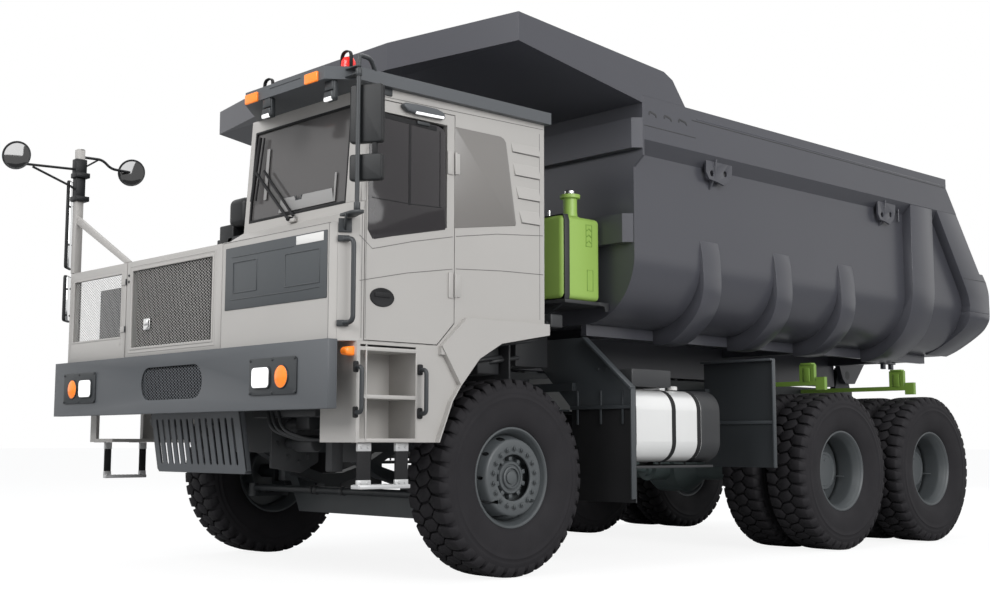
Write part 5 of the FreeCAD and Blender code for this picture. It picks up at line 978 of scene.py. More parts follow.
TUBE = (2.106, AXLE - 1.767)
tube_path = [(*TUBE, 2.52), (*TUBE, 3.585), (TUBE[0] - 0.030, TUBE[1] + 0.12, 3.590),
             (TUBE[0] - 0.070, TUBE[1] + 0.19, CREST)]
tube = pipe("mirror_tube", tube_path, 0.0155, 0.035, 5)
low_shelf = plate("foot_plate",
                  [(1.925, AXLE - 1.775), (1.985, AXLE - 1.683), (2.150, AXLE - 1.740),
                   (2.150, AXLE - 1.775),
                                 (2.106, AXLE - 1.800), (2.07, AXLE - 1.800)], "XY", 2.510, 2.532, 0.004)
wall_plate = block("foot_base", (-0.045, -0.012, 2.405), (0.045, 0.0, 2.500), 0.003)
gusset = plate("foot_gusset", [(0.0, 2.512), (-0.14, 2.512), (-0.012, 2.420)], "YZ", -0.006, 0.006, 0.001)
lean = Matrix.Rotation(math.radians(57.1), 4, "Z")
for piece in (wall_plate, gusset):
    piece.data.transform(shifted(1.945, AXLE - 1.741, 0) @ lean)
head = [plate("head_plate",
              [(1.985, AXLE - 1.79), (2.035, AXLE - 1.725), (2.136, AXLE - 1.767), (2.106, AXLE - 1.797)],
              "XY", z, z + 0.010, 0.002) for z in (3.448, 3.500)]
clamps = [rod("clamp", (*TUBE, z), (*TUBE, z + 0.05), 0.022, sides=20, round_by=0.003)
          for z in (2.535, 3.44)]
assemble("mirror_tube_set", "chassis", frame_steel, [tube, low_shelf, wall_plate, gusset, *head, *clamps])

TURN = Matrix.Translation((2.029, AXLE - 1.780, 0)) @ Matrix.Rotation(math.radians(30), 4, "Z")
shells, faces = [], []
for low, high in ((2.990, 3.390), (2.735, 2.915)):
    shell = plate("mirror_shell", pill(0.0, 0.236, low, high, 0.022, 6), "XZ", 0.0, 0.048, 0.010, 4)
    shells.append(shell)
    faces.append(plate("mirror_glass", pill(0.014, 0.222, low + 0.014, high - 0.014, 0.014, 6), "XZ",
                       0.0475,
                       0.0495, 0.0005))
for piece in shells + faces:
    piece.data.transform(TURN)
assemble("mirror_shells", "chassis", mirror_black, shells, "left_mirrors")
assemble("mirror_glasses", "chassis", mirror_face, faces)
link = block("mirror_link", (0.160, 0.008, 2.900), (0.192, 0.034, 3.000), 0.003)
link.data.transform(TURN)
fit(link, "chassis", rubber)

grip = pipe("grab_bar", [at(1.940, -1.752, 2.358), at(2.035, -1.735, 2.358), at(2.035, -1.735, 1.798),
                         at(1.940, -1.752, 1.798)], 0.0165, 0.055, 5)
feet = [block(f"grab_foot{n}", (-0.050, -0.024, z - 0.020), (0.030, 0.0, z + 0.022), 0.006, 3)
        for n, z in ((1, 2.362), (2, 1.794))]
for piece in feet:
    piece.data.transform(shifted(1.945, AXLE - 1.741, 0) @ lean)
assemble("grab_handle", "chassis", frame_steel, [grip, *feet])

# ---------------------------------------------------------------- fenders and boarding steps


def curved(points, steps=5):
    """The points joined by a smooth line that passes through each of them."""
    run = [Vector(p) for p in (points[0], *points, points[-1])]
    line = []
    for a, b, c, d in zip(run, run[1:], run[2:], run[3:]):
        for n in range(steps):
            t = n / steps
            line.append(tuple(0.5 * (2 * b + (c - a) * t + (2 * a - 5 * b + 4 * c - d) * t * t
                                     + (3 * b - a - 3 * c + d) * t ** 3)))
    return line + [tuple(points[-1])]


NOSE = AXLE - 1.633
ARCH = [(-0.970, 1.012), (-0.850, 1.294), (-0.771, 1.403), (-0.597, 1.598), (-0.378, 1.718), (0.112, 1.806)]
under = side(ARCH)
lining = plate("arch_lining", under + [(y + 0.006, z - 0.007) for y, z in reversed(under)], "YZ", 1.34,
               2.004, 0)
far_lining = twin(lining, "far_lining", shifted(0.15) @ MIRROR)
assemble("arch_linings", "chassis", rubber, [lining, far_lining])

marker = plate("fender_marker", [(NOSE - 0.105, 1.588), (NOSE - 0.115, 1.615), (NOSE - 0.100, 1.640),
                                 (NOSE - 0.020, 1.650), (NOSE + 0.010, 1.635), (NOSE + 0.010, 1.600),
                                 (NOSE - 0.020, 1.582)], "YZ", 1.905, 1.975, 0.014, 3)
fit(marker, "chassis", lamp_orange)


def boarding_steps(strap_x, fronts, wide, tread, mirrored):
    """The hanging straps with their end plates and rung, under one apron."""
    straps, metal = [], []
    for y in fronts:
        straps.append(block("strap", (strap_x - 0.010, y - 0.002, 0.742),
                            (strap_x + 0.006, y + wide, 0.985), 0.003))
        metal.append(block("strap_head", (strap_x - 0.013, y - 0.004, 0.950),
                           (strap_x + 0.009, y + wide + 0.002, 1.008), 0.003))
        metal.append(block("strap_foot", (strap_x - 0.013, y - 0.004, 0.722),
                           (strap_x + 0.009, y + wide + 0.002, 0.760), 0.003))
        metal += [part for z in (0.978, 0.741) for along in (0.25 * wide, 0.75 * wide)
                  for part in bolt("strap_bolt", (strap_x + 0.009, y + along, z), LEFT, 0.008, 0.004)]
    metal.append(block("rung", (strap_x - tread, fronts[0], 0.700),
                       (strap_x + tread / 2, fronts[1] + wide, 0.727), 0.004))
    gap = (fronts[1] + wide - fronts[0] - 0.04) / 9
    ridges = [block(f"ridge{n}", (strap_x - tread + 0.003, fronts[0] + 0.014 + gap * n, 0.726),
                    (strap_x + tread / 2 - 0.003, fronts[0] + 0.026 + gap * n, 0.730),
                    0.001) for n in range(10)]
    if mirrored:
        for piece in straps + metal + ridges:
            piece.data.transform(MIRROR)
            piece.data.flip_normals()
    place = "right" if mirrored else "left"
    assemble(f"{place}_step_straps", "chassis", rubber, straps)
    assemble(f"{place}_step_metal", "chassis", step_silver, metal + ridges)


near_fender = twin(frame["nodes"]["left_fender"], "near_fender", Matrix.Identity(4))
cut(near_fender, block("strap_room", (1.80, AXLE - 1.70, 0.60), (2.10, AXLE - 1.10, 1.006), 0))
for corner in near_fender.data.vertices:
    if corner.co.y < NOSE + 0.06:
        corner.co.y -= 0.040
fit(smooth(near_fender, 8), "chassis", cab_paint, "left_fender")
far_fender = twin(frame["nodes"]["right_fender"], "far_fender", Matrix.Identity(4))
for low, high in (((-1.95, -1.70, 0.60), (-1.60, -1.10, 1.006)),
                  ((-1.745, -1.70, 1.038), (-1.30, -1.12, 1.645)),
                  ((-1.80, -1.20, 1.038), (-1.30, -1.12, 1.645))):
    cut(far_fender, block("window", at(*low), at(*high), 0))
fit(smooth(far_fender, 8), "chassis", cab_paint, "right_fender")
boarding_steps(1.944, (NOSE + 0.020, AXLE - 1.291), 0.107, 0.070, False)
boarding_steps(1.694, (NOSE + 0.060, AXLE - 1.242), 0.060, 0.030, True)

edges = [block("tread_edge", (1.990, NOSE + 0.045, z), (2.003, AXLE - 1.160, z + 0.027), 0.004)
         for z in (1.299, 1.619, 1.009)]
edges += [block("recess_side", (1.990, y, 1.010), (2.0025, y + 0.012, 1.66), 0.003)
          for y in (NOSE + 0.036, AXLE - 1.164)]
assemble("step_edges", "chassis", cab_paint, edges)
grips, pads = [], []
for y in (NOSE - 0.052, AXLE - 1.130):
    grips.append(pipe("step_grip",
                      [(2.005, y, 1.205), (2.075, y, 1.205), (2.075, y, 1.505), (2.005, y, 1.505)],
                      0.0155, 0.055, 5))
    pads += [block("grip_pad", (1.999, y - 0.021, z - 0.035), (2.020, y + 0.021, z + 0.040), 0.010, 3)
             for z in (1.205, 1.505)]
assemble("step_grips", "chassis", frame_steel, grips)
assemble("step_grip_pads", "chassis", rubber, pads)

# ---------------------------------------------------------------- hood stack, mast and its mirrors

stack_low, stack_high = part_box("air_filter")
SX, SY, ST = (stack_low.x + stack_high.x) / 2, (stack_low.y + stack_high.y) / 2, stack_high.z
cap = block("stack_cap", (SX - 0.11, SY - 0.12, ST - 0.235), (SX + 0.13, SY + 0.12, ST), 0.055, 5)
legs = [rod("stack_leg", (SX + x, SY + y, ST - 0.33), (SX + x, SY + y, ST - 0.22), 0.017)
        for x in (-0.06, 0.075) for y in (-0.06, 0.06)]
base = [block("stack_base", (SX - 0.12, SY - 0.11, 2.478), (SX + 0.12, SY + 0.12, ST - 0.30), 0.010, 3),
        block("deck_blower", at(-0.10, -1.46, 2.478), at(0.10, -1.25, 2.720), 0.012, 3),
        block("deck_valve", at(-0.20, -1.42, 2.478), at(-0.09, -1.28, 2.625), 0.010, 3)]
hoses = [pipe("deck_hose", [at(-0.15, -1.35, 2.60), at(-0.14, -1.35, 2.70), at(-0.02, -1.35, 2.76),
                            at(0.0, -1.35, 2.70)], 0.018, 0.05)]
assemble("hood_stack", "chassis", mirror_black, [cap, *legs, *base, *hoses], "air_filter")

MAST = (-1.905, AXLE - 1.786)
post = block("mast_post", (-1.948, AXLE - 1.826, 2.478), (-1.880, AXLE - 1.758, 3.590), 0.005)
tie = plate("mast_brace",
            [(-1.881, 2.913), (-0.985, 2.478), (-0.905, 2.478), (-0.905, 2.490), (-1.881, 2.986)],
            "XZ", AXLE - 1.815, AXLE - 1.785, 0.004)
assemble("mast", "chassis", cab_paint, [post, tie], "mirror_mast")
dish_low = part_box("mirror_mast")[0]
NEAR_DISC, FAR_DISC, LEVEL = dish_low.y - AXLE + 0.115, -1.291, 3.448
bars = [pipe("near_arm", [at(MAST[0], NEAR_DISC + 0.045, LEVEL - 0.062), at(MAST[0], -1.90, LEVEL - 0.045),
                          at(MAST[0], -1.80, LEVEL - 0.040)], 0.011),
        pipe("near_stay", [at(MAST[0], NEAR_DISC + 0.14, LEVEL - 0.075), at(MAST[0], -1.87, LEVEL - 0.200),
                           at(MAST[0], -1.80, LEVEL - 0.240)], 0.010),
        pipe("far_arm", [at(MAST[0], -1.78, LEVEL + 0.075), at(MAST[0], -1.58, LEVEL + 0.080),
                         at(MAST[0], -1.50, LEVEL + 0.010), at(MAST[0], FAR_DISC, LEVEL + 0.004)], 0.012,
             0.05),
        pipe("far_rod", [at(MAST[0], -1.76, LEVEL - 0.02), at(MAST[0], -1.62, LEVEL + 0.075)], 0.008)]
bars += [block("mast_clamp", at(-1.965, -1.850, z), at(-1.845, -1.722, z + 0.045), 0.006)
         for z in (3.330, 3.120)]
bars.append(block("mast_grip", at(-1.952, -1.834, 3.130), at(-1.874, -1.750, 3.345), 0.004))
bars += [block("mast_box", at(-1.952, -1.846, 3.36), at(-1.872, -1.740, 3.50), 0.008),
         rod("mast_cap", at(-1.905, -1.786, 3.586), at(-1.905, -1.786, 3.5895), 0.030)]
discs, shine = [], []
for station in (NEAR_DISC, FAR_DISC):
    spot = at(MAST[0], station, LEVEL)
    dish = turned("dish", [(0.020, 0.0), (0.018, 0.045), (0.004, 0.085), (-0.012, 0.118), (-0.018, 0.124),
                           (-0.020, 0.1245), (-0.0195, 0.116), (-0.014, 0.114), (-0.012, 0.0)], (0, 0, 0),
                  "Y", 40,
                  closed=False)
    glass = turned("disc_glass", [(-0.012, 0.116), (-0.0175, 0.090), (-0.0205, 0.060), (-0.0225, 0.0)],
                   (0, 0, 0), "Y",
                   40, closed=False)
    heading = shifted(*spot) @ Matrix.Rotation(math.radians(48), 4, "Z")
    dish.data.transform(heading)
    glass.data.transform(heading)
    discs.append(dish)
    shine.append(glass)
assemble("mast_arms", "chassis", mirror_black, bars + discs)
assemble("mast_disc_glass", "chassis", disc_glass, shine)
tall, tall_face = [], []
REAR_VIEW = Matrix.Translation((-2.165, AXLE - 1.735, 0)) @ Matrix.Rotation(math.radians(-40), 4, "Z")
for low, high in ((2.535, 3.325), (2.065, 2.475)):
    tall.append(plate("far_mirror", pill(0.0, 0.195, low, high, 0.030), "XZ", 0.0, 0.028, 0.008, 3))
    tall_face.append(plate("far_face", pill(0.012, 0.183, low + 0.012, high - 0.012, 0.020), "XZ", 0.0275,
                           0.0295,
                           0.0005))
for piece in tall + tall_face:
    piece.data.transform(REAR_VIEW)
stays = [pipe("mirror_stay", [at(-2.06, -1.765, z), at(-1.93, -1.785, z)], 0.010)
         for z in (2.75, 3.10, 2.12, 2.36)]
assemble("far_mirrors", "chassis", mirror_black, tall + stays)
assemble("far_mirror_faces", "chassis", mirror_face, tall_face)

# ---------------------------------------------------------------- hydraulic tank and fuel tanks

tank = block("oil_tank", at(1.15, 0.612, 2.162), at(1.700, 1.068, 2.850), 0.045, 5)
collar = turned("collar",
                [(0.0, 0.085), (0.012, 0.078), (0.02, 0.062), (0.055, 0.058), (0.165, 0.058),
                 (0.168, 0.072),
                           (0.172, 0.084), (0.200, 0.084), (0.205, 0.060), (0.205, 0.0), (0.0, 0.0)],
                at(1.60, 0.81, 2.838), "Z", 36)
grooves = [ribbon("tank_mark",
                  side([(0.893, 2.612), (0.893, 2.790), (0.962, 2.790), (0.962, 2.612), (0.893, 2.612)]),
                  "YZ", 1.698, 1.703, 0.006),
           ribbon("tank_frame",
                  side([(0.905, 2.246), (0.905, 2.417), (0.974, 2.417), (0.974, 2.246), (0.905, 2.246)]),
                  "YZ", 1.698, 1.703, 0.006)]
grooves += [ribbon("tank_zigzag", side([(0.90, z), (0.927, z + 0.020), (0.955, z)]), "YZ", 1.698, 1.704,
                   0.008)
            for z in (2.64, 2.69, 2.74)]
assemble("oil_tank", "chassis", green_paint, [tank, collar], "hydraulic_tank")
assemble("oil_tank_marks", "chassis", bar_green, grooves)
band_path = [(1.20, 2.158), (1.700, 2.158), (1.704, 2.20), (1.704, 2.80), (1.690, 2.852), (1.20, 2.854)]
tank_strap = ribbon("tank_strap", [(x, z) for x, z in band_path], "XZ", AXLE + 0.632, AXLE + 0.690, 0.008,
                    0.001)
stand = [block("tank_shelf", at(1.14, 0.62, 2.128), at(1.720, 1.141, 2.158), 0.004),
         plate("shelf_hook",
               side([(1.02, 2.158), (1.141, 2.158), (1.141, 2.084), (1.10, 2.084), (1.09, 2.125),
                                   (1.02, 2.130)]), "YZ", 1.700, 1.724, 0.003),
         block("stand_post", at(0.52, 0.65, 1.642), at(1.12, 1.03, 2.130), 0.006),
         plate("stand_web", [(0.47, 1.66), (1.66, 2.130), (0.47, 2.130)], "XZ", AXLE + 0.66, AXLE + 0.69,
               0.003)]
stand += [block("stand_valve", at(x, 0.56, z), at(x + 0.14, 0.70, z + 0.11), 0.012, 3)
          for x, z in ((1.30, 1.98), (1.48, 1.93), (1.10, 1.86))]
stand += [pipe("stand_hose",
               [at(x, 0.60, 2.02), at(x + 0.05, 0.52, 1.90), at(x + 0.02, 0.42, 1.82),
                at(x - 0.2, 0.2, 1.78)],
               0.016, 0.07) for x in (1.36, 1.46, 1.55)]
assemble("tank_stand", "chassis", black_steel, [tank_strap, *stand])
filler = turned("filler_cap",
                [(0.0, 0.0), (0.0, 0.050), (0.012, 0.052), (0.014, 0.046), (0.032, 0.046), (0.040, 0.034),
                               (0.044, 0.0)], at(1.60, 0.81, 3.038), "Z", 28, closed=False)
probe = rod("tank_fitting", at(1.546, 0.62, 2.85), at(1.546, 0.62, 2.895), 0.010)
assemble("tank_filler", "chassis", chrome, [filler, probe])

TANK_REAR = AXLE + 2.30
belts, caps = [], []
ring = pill(1.357, 1.963, 0.847, 1.453, 0.172, 8)
for y in (1.65, 1.985):
    belt = plate("fuel_belt", ring, "XZ", AXLE + y, AXLE + y + 0.052, 0)
    cut(belt, plate("belt_room", pill(1.366, 1.954, 0.856, 1.444, 0.164, 8), "XZ", AXLE + y - 0.05,
                    AXLE + y + 0.10, 0))
    belts.append(soften(belt, 0.002, 1))
    belts.append(rod("belt_bolt", at(1.80, y + 0.026, 0.825), at(1.80, y + 0.026, 0.86), 0.009))
caps.append(plate("fuel_end", pill(1.355, 1.966, 0.844, 1.456, 0.176, 8), "XZ", TANK_REAR - 0.26,
                  TANK_REAR + 0.002, 0.012, 3))
caps.append(block("tank_step", at(1.42, 1.22, 1.470), at(1.90, 1.72, 1.615), 0.010, 3))
caps.append(block("tank_tray", at(1.36, 1.24, 0.800), at(1.90, 2.28, 0.822), 0.004))
caps += [block("tray_stay", at(1.30, y, 0.800), at(1.42, y + 0.05, 1.30), 0.004) for y in (1.45, 2.0)]
for half in (belts, caps):
    half += [twin(piece, "tank_twin", MIRROR) for piece in list(half)]
assemble("fuel_belts", "chassis", rubber, belts)
assemble("fuel_ends", "chassis", black_steel, caps)
neck = [turned("fuel_cap", [(0.0, 0.0), (0.0, 0.040), (0.028, 0.040), (0.034, 0.032), (0.034, 0.0)],
               (side_sign * 1.80, AXLE + 1.86, 1.455), "Z", 24, closed=False)
        for side_sign in (1, -1)]
assemble("fuel_caps", "chassis", plate_white, neck)

# ---------------------------------------------------------------- guards behind the front wheels

guard = [plate("guard_top", [(0.860, 1.720), (1.290, 1.302), (1.990, 1.302), (1.990, 1.452), (1.470, 1.888),
                             (0.860, 1.888)], "XZ", AXLE + 1.139, AXLE + 1.149, 0.002)]
guard += [plate("guard_fold",
                [(1.455, 1.885), (1.475, 1.889), (1.996, 1.458), (1.990, 1.440), (1.975, 1.440)], "XZ",
                AXLE + 1.085, AXLE + 1.150, 0.002)]
guard += [block("guard_rib", (x, AXLE + 1.128, 1.16), (x + 0.020, AXLE + 1.140, 1.44), 0.004)
          for x in (1.36, 1.62, 1.86)]
guard.append(block("guard_bar", (1.29, AXLE + 1.125, 1.285), (1.99, AXLE + 1.140, 1.315), 0.004))
guard += [part for x in (1.60, 1.68) for part in bolt("guard_bolt", (x, AXLE + 1.139, 1.62), FRONT, 0.013,
                                                      0.007)]
guard += [block("guard_edge", (1.978, AXLE + 1.10, 0.56), (1.992, AXLE + 1.152, 1.452), 0.003)]
wing = [block("wing_edge", (2.066, AXLE + 2.93, 0.79), (2.082, AXLE + 2.972, 1.762), 0.003),
        block("wing_top", (1.29, AXLE + 2.90, 1.745), (2.08, AXLE + 2.972, 1.765), 0.004),
        block("wing_bar", (1.29, AXLE + 2.945, 1.18), (2.07, AXLE + 2.960, 1.21), 0.004)]
others = [twin(piece, "guard_twin", MIRROR) for piece in guard + wing]
assemble("guard_metal", "chassis", panel_paint, guard + wing + others)
flap = block("flap_skin", (1.292, AXLE + 1.146, 0.532), (1.988, AXLE + 1.149, 1.290), 0.001)
assemble("guard_flaps", "chassis", rubber, [flap, twin(flap, "flap_twin", MIRROR)])

# ---------------------------------------------------------------- dump body

TUB = [(1.982, 2.560)] + [(1.45 + 0.532 * math.cos(math.radians(t)),
                           2.55 - 0.532 * math.sin(math.radians(t)))
                          for t in range(0, 91, 9)]
RIB_EDGE = curved([(1.462, 1.870), (1.600, 1.871), (1.700, 1.906), (1.820, 1.985), (1.930, 2.090),
                   (1.990, 2.180),
                   (2.026, 2.290), (2.036, 2.400), (2.032, 2.500), (2.026, 2.600), (2.016, 2.680),
                   (2.001, 2.745)])
stiff = []
for n in range(3):
    start = AXLE + 2.015 + 1.08 * n
    stiff.append(plate(f"rib{n}", RIB_EDGE + [(1.982, 2.745)] + TUB, "XZ", start, start + 0.25, 0.004))
HOOP_EDGE = curved([(1.462, 1.870), (1.545, 1.872), (1.722, 1.940), (1.936, 2.112), (2.050, 2.312),
                    (2.096, 2.540),
                    (2.100, 2.75)]) + [(2.100, 3.484)]
stiff.append(plate("hoop", HOOP_EDGE + [(2.0, 3.386), (1.982, 3.386)] + TUB, "XZ", AXLE + 5.43,
                   AXLE + 5.88, 0.006))
tail = side([(5.977, 3.486), (6.407, 3.486), (6.893, 2.877), (6.962, 2.877)]
            + curved([(7.040, 2.790), (7.090, 2.680), (7.098, 2.560), (7.098, 2.441)]) + [(6.64, 2.441)]
            + curved([(6.650, 2.500), (6.620, 2.600), (6.56, 2.70), (6.465, 2.830)]))
stiff.append(plate("tail_frame", tail, "YZ", 1.985, 2.100, 0.004))
FLARE = curved([(2.100, 2.441), (2.092, 2.375), (2.058, 2.310), (2.0, 2.2436), (1.868, 2.1500),
                (1.70, 2.052),
                (1.56, 1.992)])
stiff.append(plate("tail_flare", FLARE + TUB[::-1][1:-1] + [(1.982, 2.441)], "XZ", AXLE + 6.64,
                   AXLE + 7.098, 0.004))
stiff += [twin(piece, f"{piece.name}_twin", MIRROR) for piece in list(stiff)]
assemble("body_ribs", "dump_body", body_paint, stiff, "dump_ribs")

BAND = 2.100
# The groove under the lip and the three notches are black strips of painted shade in those recesses. The
# flank and tail lines are seams.
seams = [ribbon("lip_groove_shade", side([(1.80, 3.752), (6.17, 3.752)]), "YZ", BAND - 0.001, BAND + 0.0012,
                0.008),
         ribbon("flank_line", side([(1.172, 3.605), (1.850, 3.605)]), "YZ", BAND - 0.001, BAND + 0.0012,
                0.007),
         ribbon("tail_seam", side([(6.52, 2.800), (7.02, 2.800)]), "YZ", BAND - 0.001, BAND + 0.0012,
                0.006)]
for y0, y1 in ((1.231, 1.332), (1.426, 1.530), (1.616, 1.733)):
    seams.append(plate("notch_shade",
                       side([(y0, 3.725), (y0 + 0.015, 3.737), (y1 - 0.015, 3.722), (y1, 3.705),
                             (y1, 3.690),
                                      (y1 - 0.012, 3.690), (y1 - 0.020, 3.706), (y0 + 0.020, 3.720),
                                      (y0 + 0.010, 3.700), (y0, 3.700)]), "YZ", BAND - 0.001, BAND + 0.002,
                       0))
seams += [twin(piece, "seam_twin", MIRROR) for piece in list(seams)]
assemble("body_seams_and_shades", "dump_body", black_steel, seams)

lip = ribbon("band_lip", side([(1.86, 3.772), (6.16, 3.772)]), "YZ", BAND - 0.001, BAND + 0.001, 0.014,
             0.001)
lugs = [lip]
for y0, y1, low in ((2.02, 2.42, 3.255), (4.83, 5.20, 3.230)):
    ear = plate("lug", side([(y0 + 0.02, 3.53), (y1, 3.53), (y1 - 0.01, 3.37), (y1 - 0.05, low + 0.05),
                             (y1 - 0.13, low), (y0 + 0.17, low + 0.02), (y0 + 0.06, low + 0.03),
                             (y0 + 0.02, low + 0.09)]), "YZ", 2.040, 2.062, 0)
    for y, z in ((y0 + 0.10, low + 0.085), (y1 - 0.11, low + 0.105)):
        cut(ear, rod("eye", at(2.0, y, z), at(2.1, y, z), 0.026, sides=28))
    lugs.append(soften(ear, 0.003))
    lugs.append(plate("lug_gusset", [(1.995, 3.48), (2.085, 3.48), (2.06, 3.30), (1.995, 3.20)], "XZ",
                      AXLE + y0 + 0.13, AXLE + y0 + 0.150, 0.002))
    lugs.append(plate("lug_back", side([(y0 + 0.04, 3.50), (y1 - 0.03, 3.50), (y1 - 0.09, low + 0.06),
                                        (y0 + 0.12, low + 0.06)]), "YZ", 1.996, 2.012, 0.003))
lugs.append(rod("sheet_rod", at(2.03, 5.30, 3.29), at(2.03, 5.30, 3.50), 0.010))
lugs += [twin(piece, "lug_twin", MIRROR) for piece in list(lugs)]
lugs.append(block("tail_bracket", at(1.43, 5.83, 1.862), at(1.49, 6.10, 1.885), 0.004))
lugs += [block("tail_tab", at(1.44, y, 1.808), at(1.48, y + 0.05, 1.870), 0.004) for y in (5.86, 6.02)]
assemble("body_lugs", "dump_body", body_paint, lugs)
cores = []
for name in ("axle_two_left_wheels", "axle_three_left_wheels"):
    low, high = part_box(name)
    middle = (low.y + high.y) / 2
    cores += [block("clamp_core", (1.630, middle - 0.030, 1.606), (1.703, middle + 0.030, 1.740), 0.006),
              block("clamp_cap", (1.600, middle - 0.032, 1.770), (1.733, middle + 0.032, 1.790), 0.004)]
cores += [twin(piece, "core_twin", MIRROR) for piece in list(cores)]
assemble("ejector_clamps", "chassis", bar_green, cores)

inner_lip = [ribbon("canopy_lip_strip", side([(-0.25, 4.020), (1.15, 3.805)]), "YZ", x, x + 0.004, 0.026,
                    0.001)
             for x in (2.078, -2.082)]
assemble("canopy_lips", "dump_body", body_paint, inner_lip)

# ---------------------------------------------------------------- under the bumper and beside the engine

bay = [plate("bay_plate",
             side([(-1.45, 0.82), (-1.18, 0.78), (-1.02, 0.86), (-1.02, 1.30), (-1.45, 1.30)]), "YZ", 0.660,
             0.684, 0.006),
       block("bay_wall", at(0.74, -0.86, 0.86), at(1.08, -0.82, 1.66), 0.004),
       block("bay_beam", at(0.50, -1.50, 1.19), at(1.30, -1.30, 1.27), 0.010),
       block("bay_post", at(1.18, -1.32, 0.80), at(1.26, -1.22, 1.30), 0.008),
       rod("filter_can", at(0.80, -1.30, 1.00), at(1.06, -1.30, 1.00), 0.062, round_by=0.024),
       rod("filter_neck", at(0.70, -1.30, 1.00), at(0.81, -1.30, 1.00), 0.040),
       ball("coupling", at(0.86, -1.36, 1.135), 0.075, (1, 1, 0.8)),
       block("bay_valve", at(0.92, -1.40, 1.10), at(1.08, -1.26, 1.22), 0.012, 3)]
bay += [part for y,
        z in ((-1.40, 1.20), (-1.40, 1.10), (-1.40, 1.00), (-1.30, 1.15), (-1.30, 0.90), (-1.20, 0.86),
                          (-1.12, 0.90)) for part in bolt("bay_bolt", at(0.684, y, z), LEFT, 0.014, 0.008)]
bay += [pipe("bay_hose", [at(x, -1.50, 1.24), at(x + 0.08, -1.52, 1.10), at(x + 0.30, -1.40, 1.02),
                          at(x + 0.46, -1.20, 1.06)], 0.014, 0.09) for x in (0.70, 0.76, 0.84)]
bay += [rod("tow_pin", at(-0.96, -1.50, 1.185), at(-0.60, -1.50, 1.185), 0.062, round_by=0.02),
        block("tow_cheek", at(-0.90, -1.46, 1.03), at(-0.60, -1.38, 1.25), 0.012, 3)]
bay += [pipe("arch_hose", [at(0.95, y, 1.70), at(1.15, y + 0.10, 1.62), at(1.28, y + 0.22, 1.66),
                           at(1.25, y + 0.50, 1.70)], 0.018, 0.10) for y in (-0.30, -0.12, 0.05)]
bay += [block("arch_screen", at(0.55, 0.36, 1.50), at(1.34, 0.38, 2.06), 0.004),
        block("arch_box", at(0.95, 0.10, 1.55), at(1.25, 0.34, 1.86), 0.015, 3),
        rod("arch_can", at(0.70, 0.10, 1.50), at(0.70, 0.10, 1.84), 0.07, round_by=0.02)]
assemble("bay_parts", "chassis", black_steel, bay)

link_low, link_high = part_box("tie_rod")
LINK_Y, LINK_Z = (link_low.y + link_high.y) / 2, (link_low.z + link_high.z) / 2
sleeves = [rod("sleeve", (x0, LINK_Y, LINK_Z), (x1, LINK_Y, LINK_Z), 0.029, round_by=0.004)
           for x0, x1 in ((-1.05, -0.32), (0.14, 0.94))]
assemble("tie_rod_sleeves", "tie_rod", step_silver, sleeves)
joints = [ball("rod_joint", (-0.25, LINK_Y, LINK_Z), 0.042),
          rod("rod_clamp", (-0.33, LINK_Y, LINK_Z), (-0.29, LINK_Y, LINK_Z), 0.038, round_by=0.004),
          rod("rod_collar", (0.10, LINK_Y, LINK_Z), (0.14, LINK_Y, LINK_Z), 0.038, round_by=0.004)]
assemble("tie_rod_joints", "tie_rod", black_steel, joints)

# ---------------------------------------------------------------- driver's seat

seat_low, seat_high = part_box("driver_seat")
MIDDLE = (seat_low.x + seat_high.x) / 2
cushion_top = 2.24


SET_IN, MOST_SWELL = 0.022, 0.024
CHANNEL, CHANNEL_WIDE = 0.26, 0.05


def stuffed(name, low, high, lift):
    """A cushion swollen by cloth pressure from a slightly smaller block, with rounded channels after."""
    pad = block(name, [a + SET_IN for a in low], [b - SET_IN for b in high], 0.030, 3)
    modify(pad, "REMESH", mode="VOXEL", voxel_size=0.006)
    start = [corner.co.copy() for corner in pad.data.vertices]
    use(pad)
    cloth = pad.modifiers.new("Cloth", "CLOTH")
    cloth.settings.use_pressure = True
    cloth.settings.uniform_pressure_force = 4
    cloth.settings.effector_weights.gravity = 0
    for step in range(1, 21):
        bpy.context.scene.frame_set(step)
    bpy.ops.object.modifier_apply(modifier=cloth.name)
    for corner, was in zip(pad.data.vertices, start):
        move = corner.co - was
        if move.length > MOST_SWELL:
            corner.co = was + move.normalized() * MOST_SWELL
    bpy.context.scene.frame_set(1)
    for corner in pad.data.vertices:
        for axis in range(3):
            corner.co[axis] = min(max(corner.co[axis], low[axis]), high[axis])
        share = (corner.co.x - MIDDLE) / (high[0] - low[0])
        for seam in (-CHANNEL, CHANNEL):
            near = abs(share - seam)
            if near < CHANNEL_WIDE:
                middle = Vector([(a + b) / 2 for a, b in zip(low, high)])
                corner.co += (middle - corner.co).normalized() * lift * (1 - near / CHANNEL_WIDE)
    modify(pad, "SUBSURF", levels=1, render_levels=1)
    fit(smooth(pad, 60), "chassis", seat_fabric)


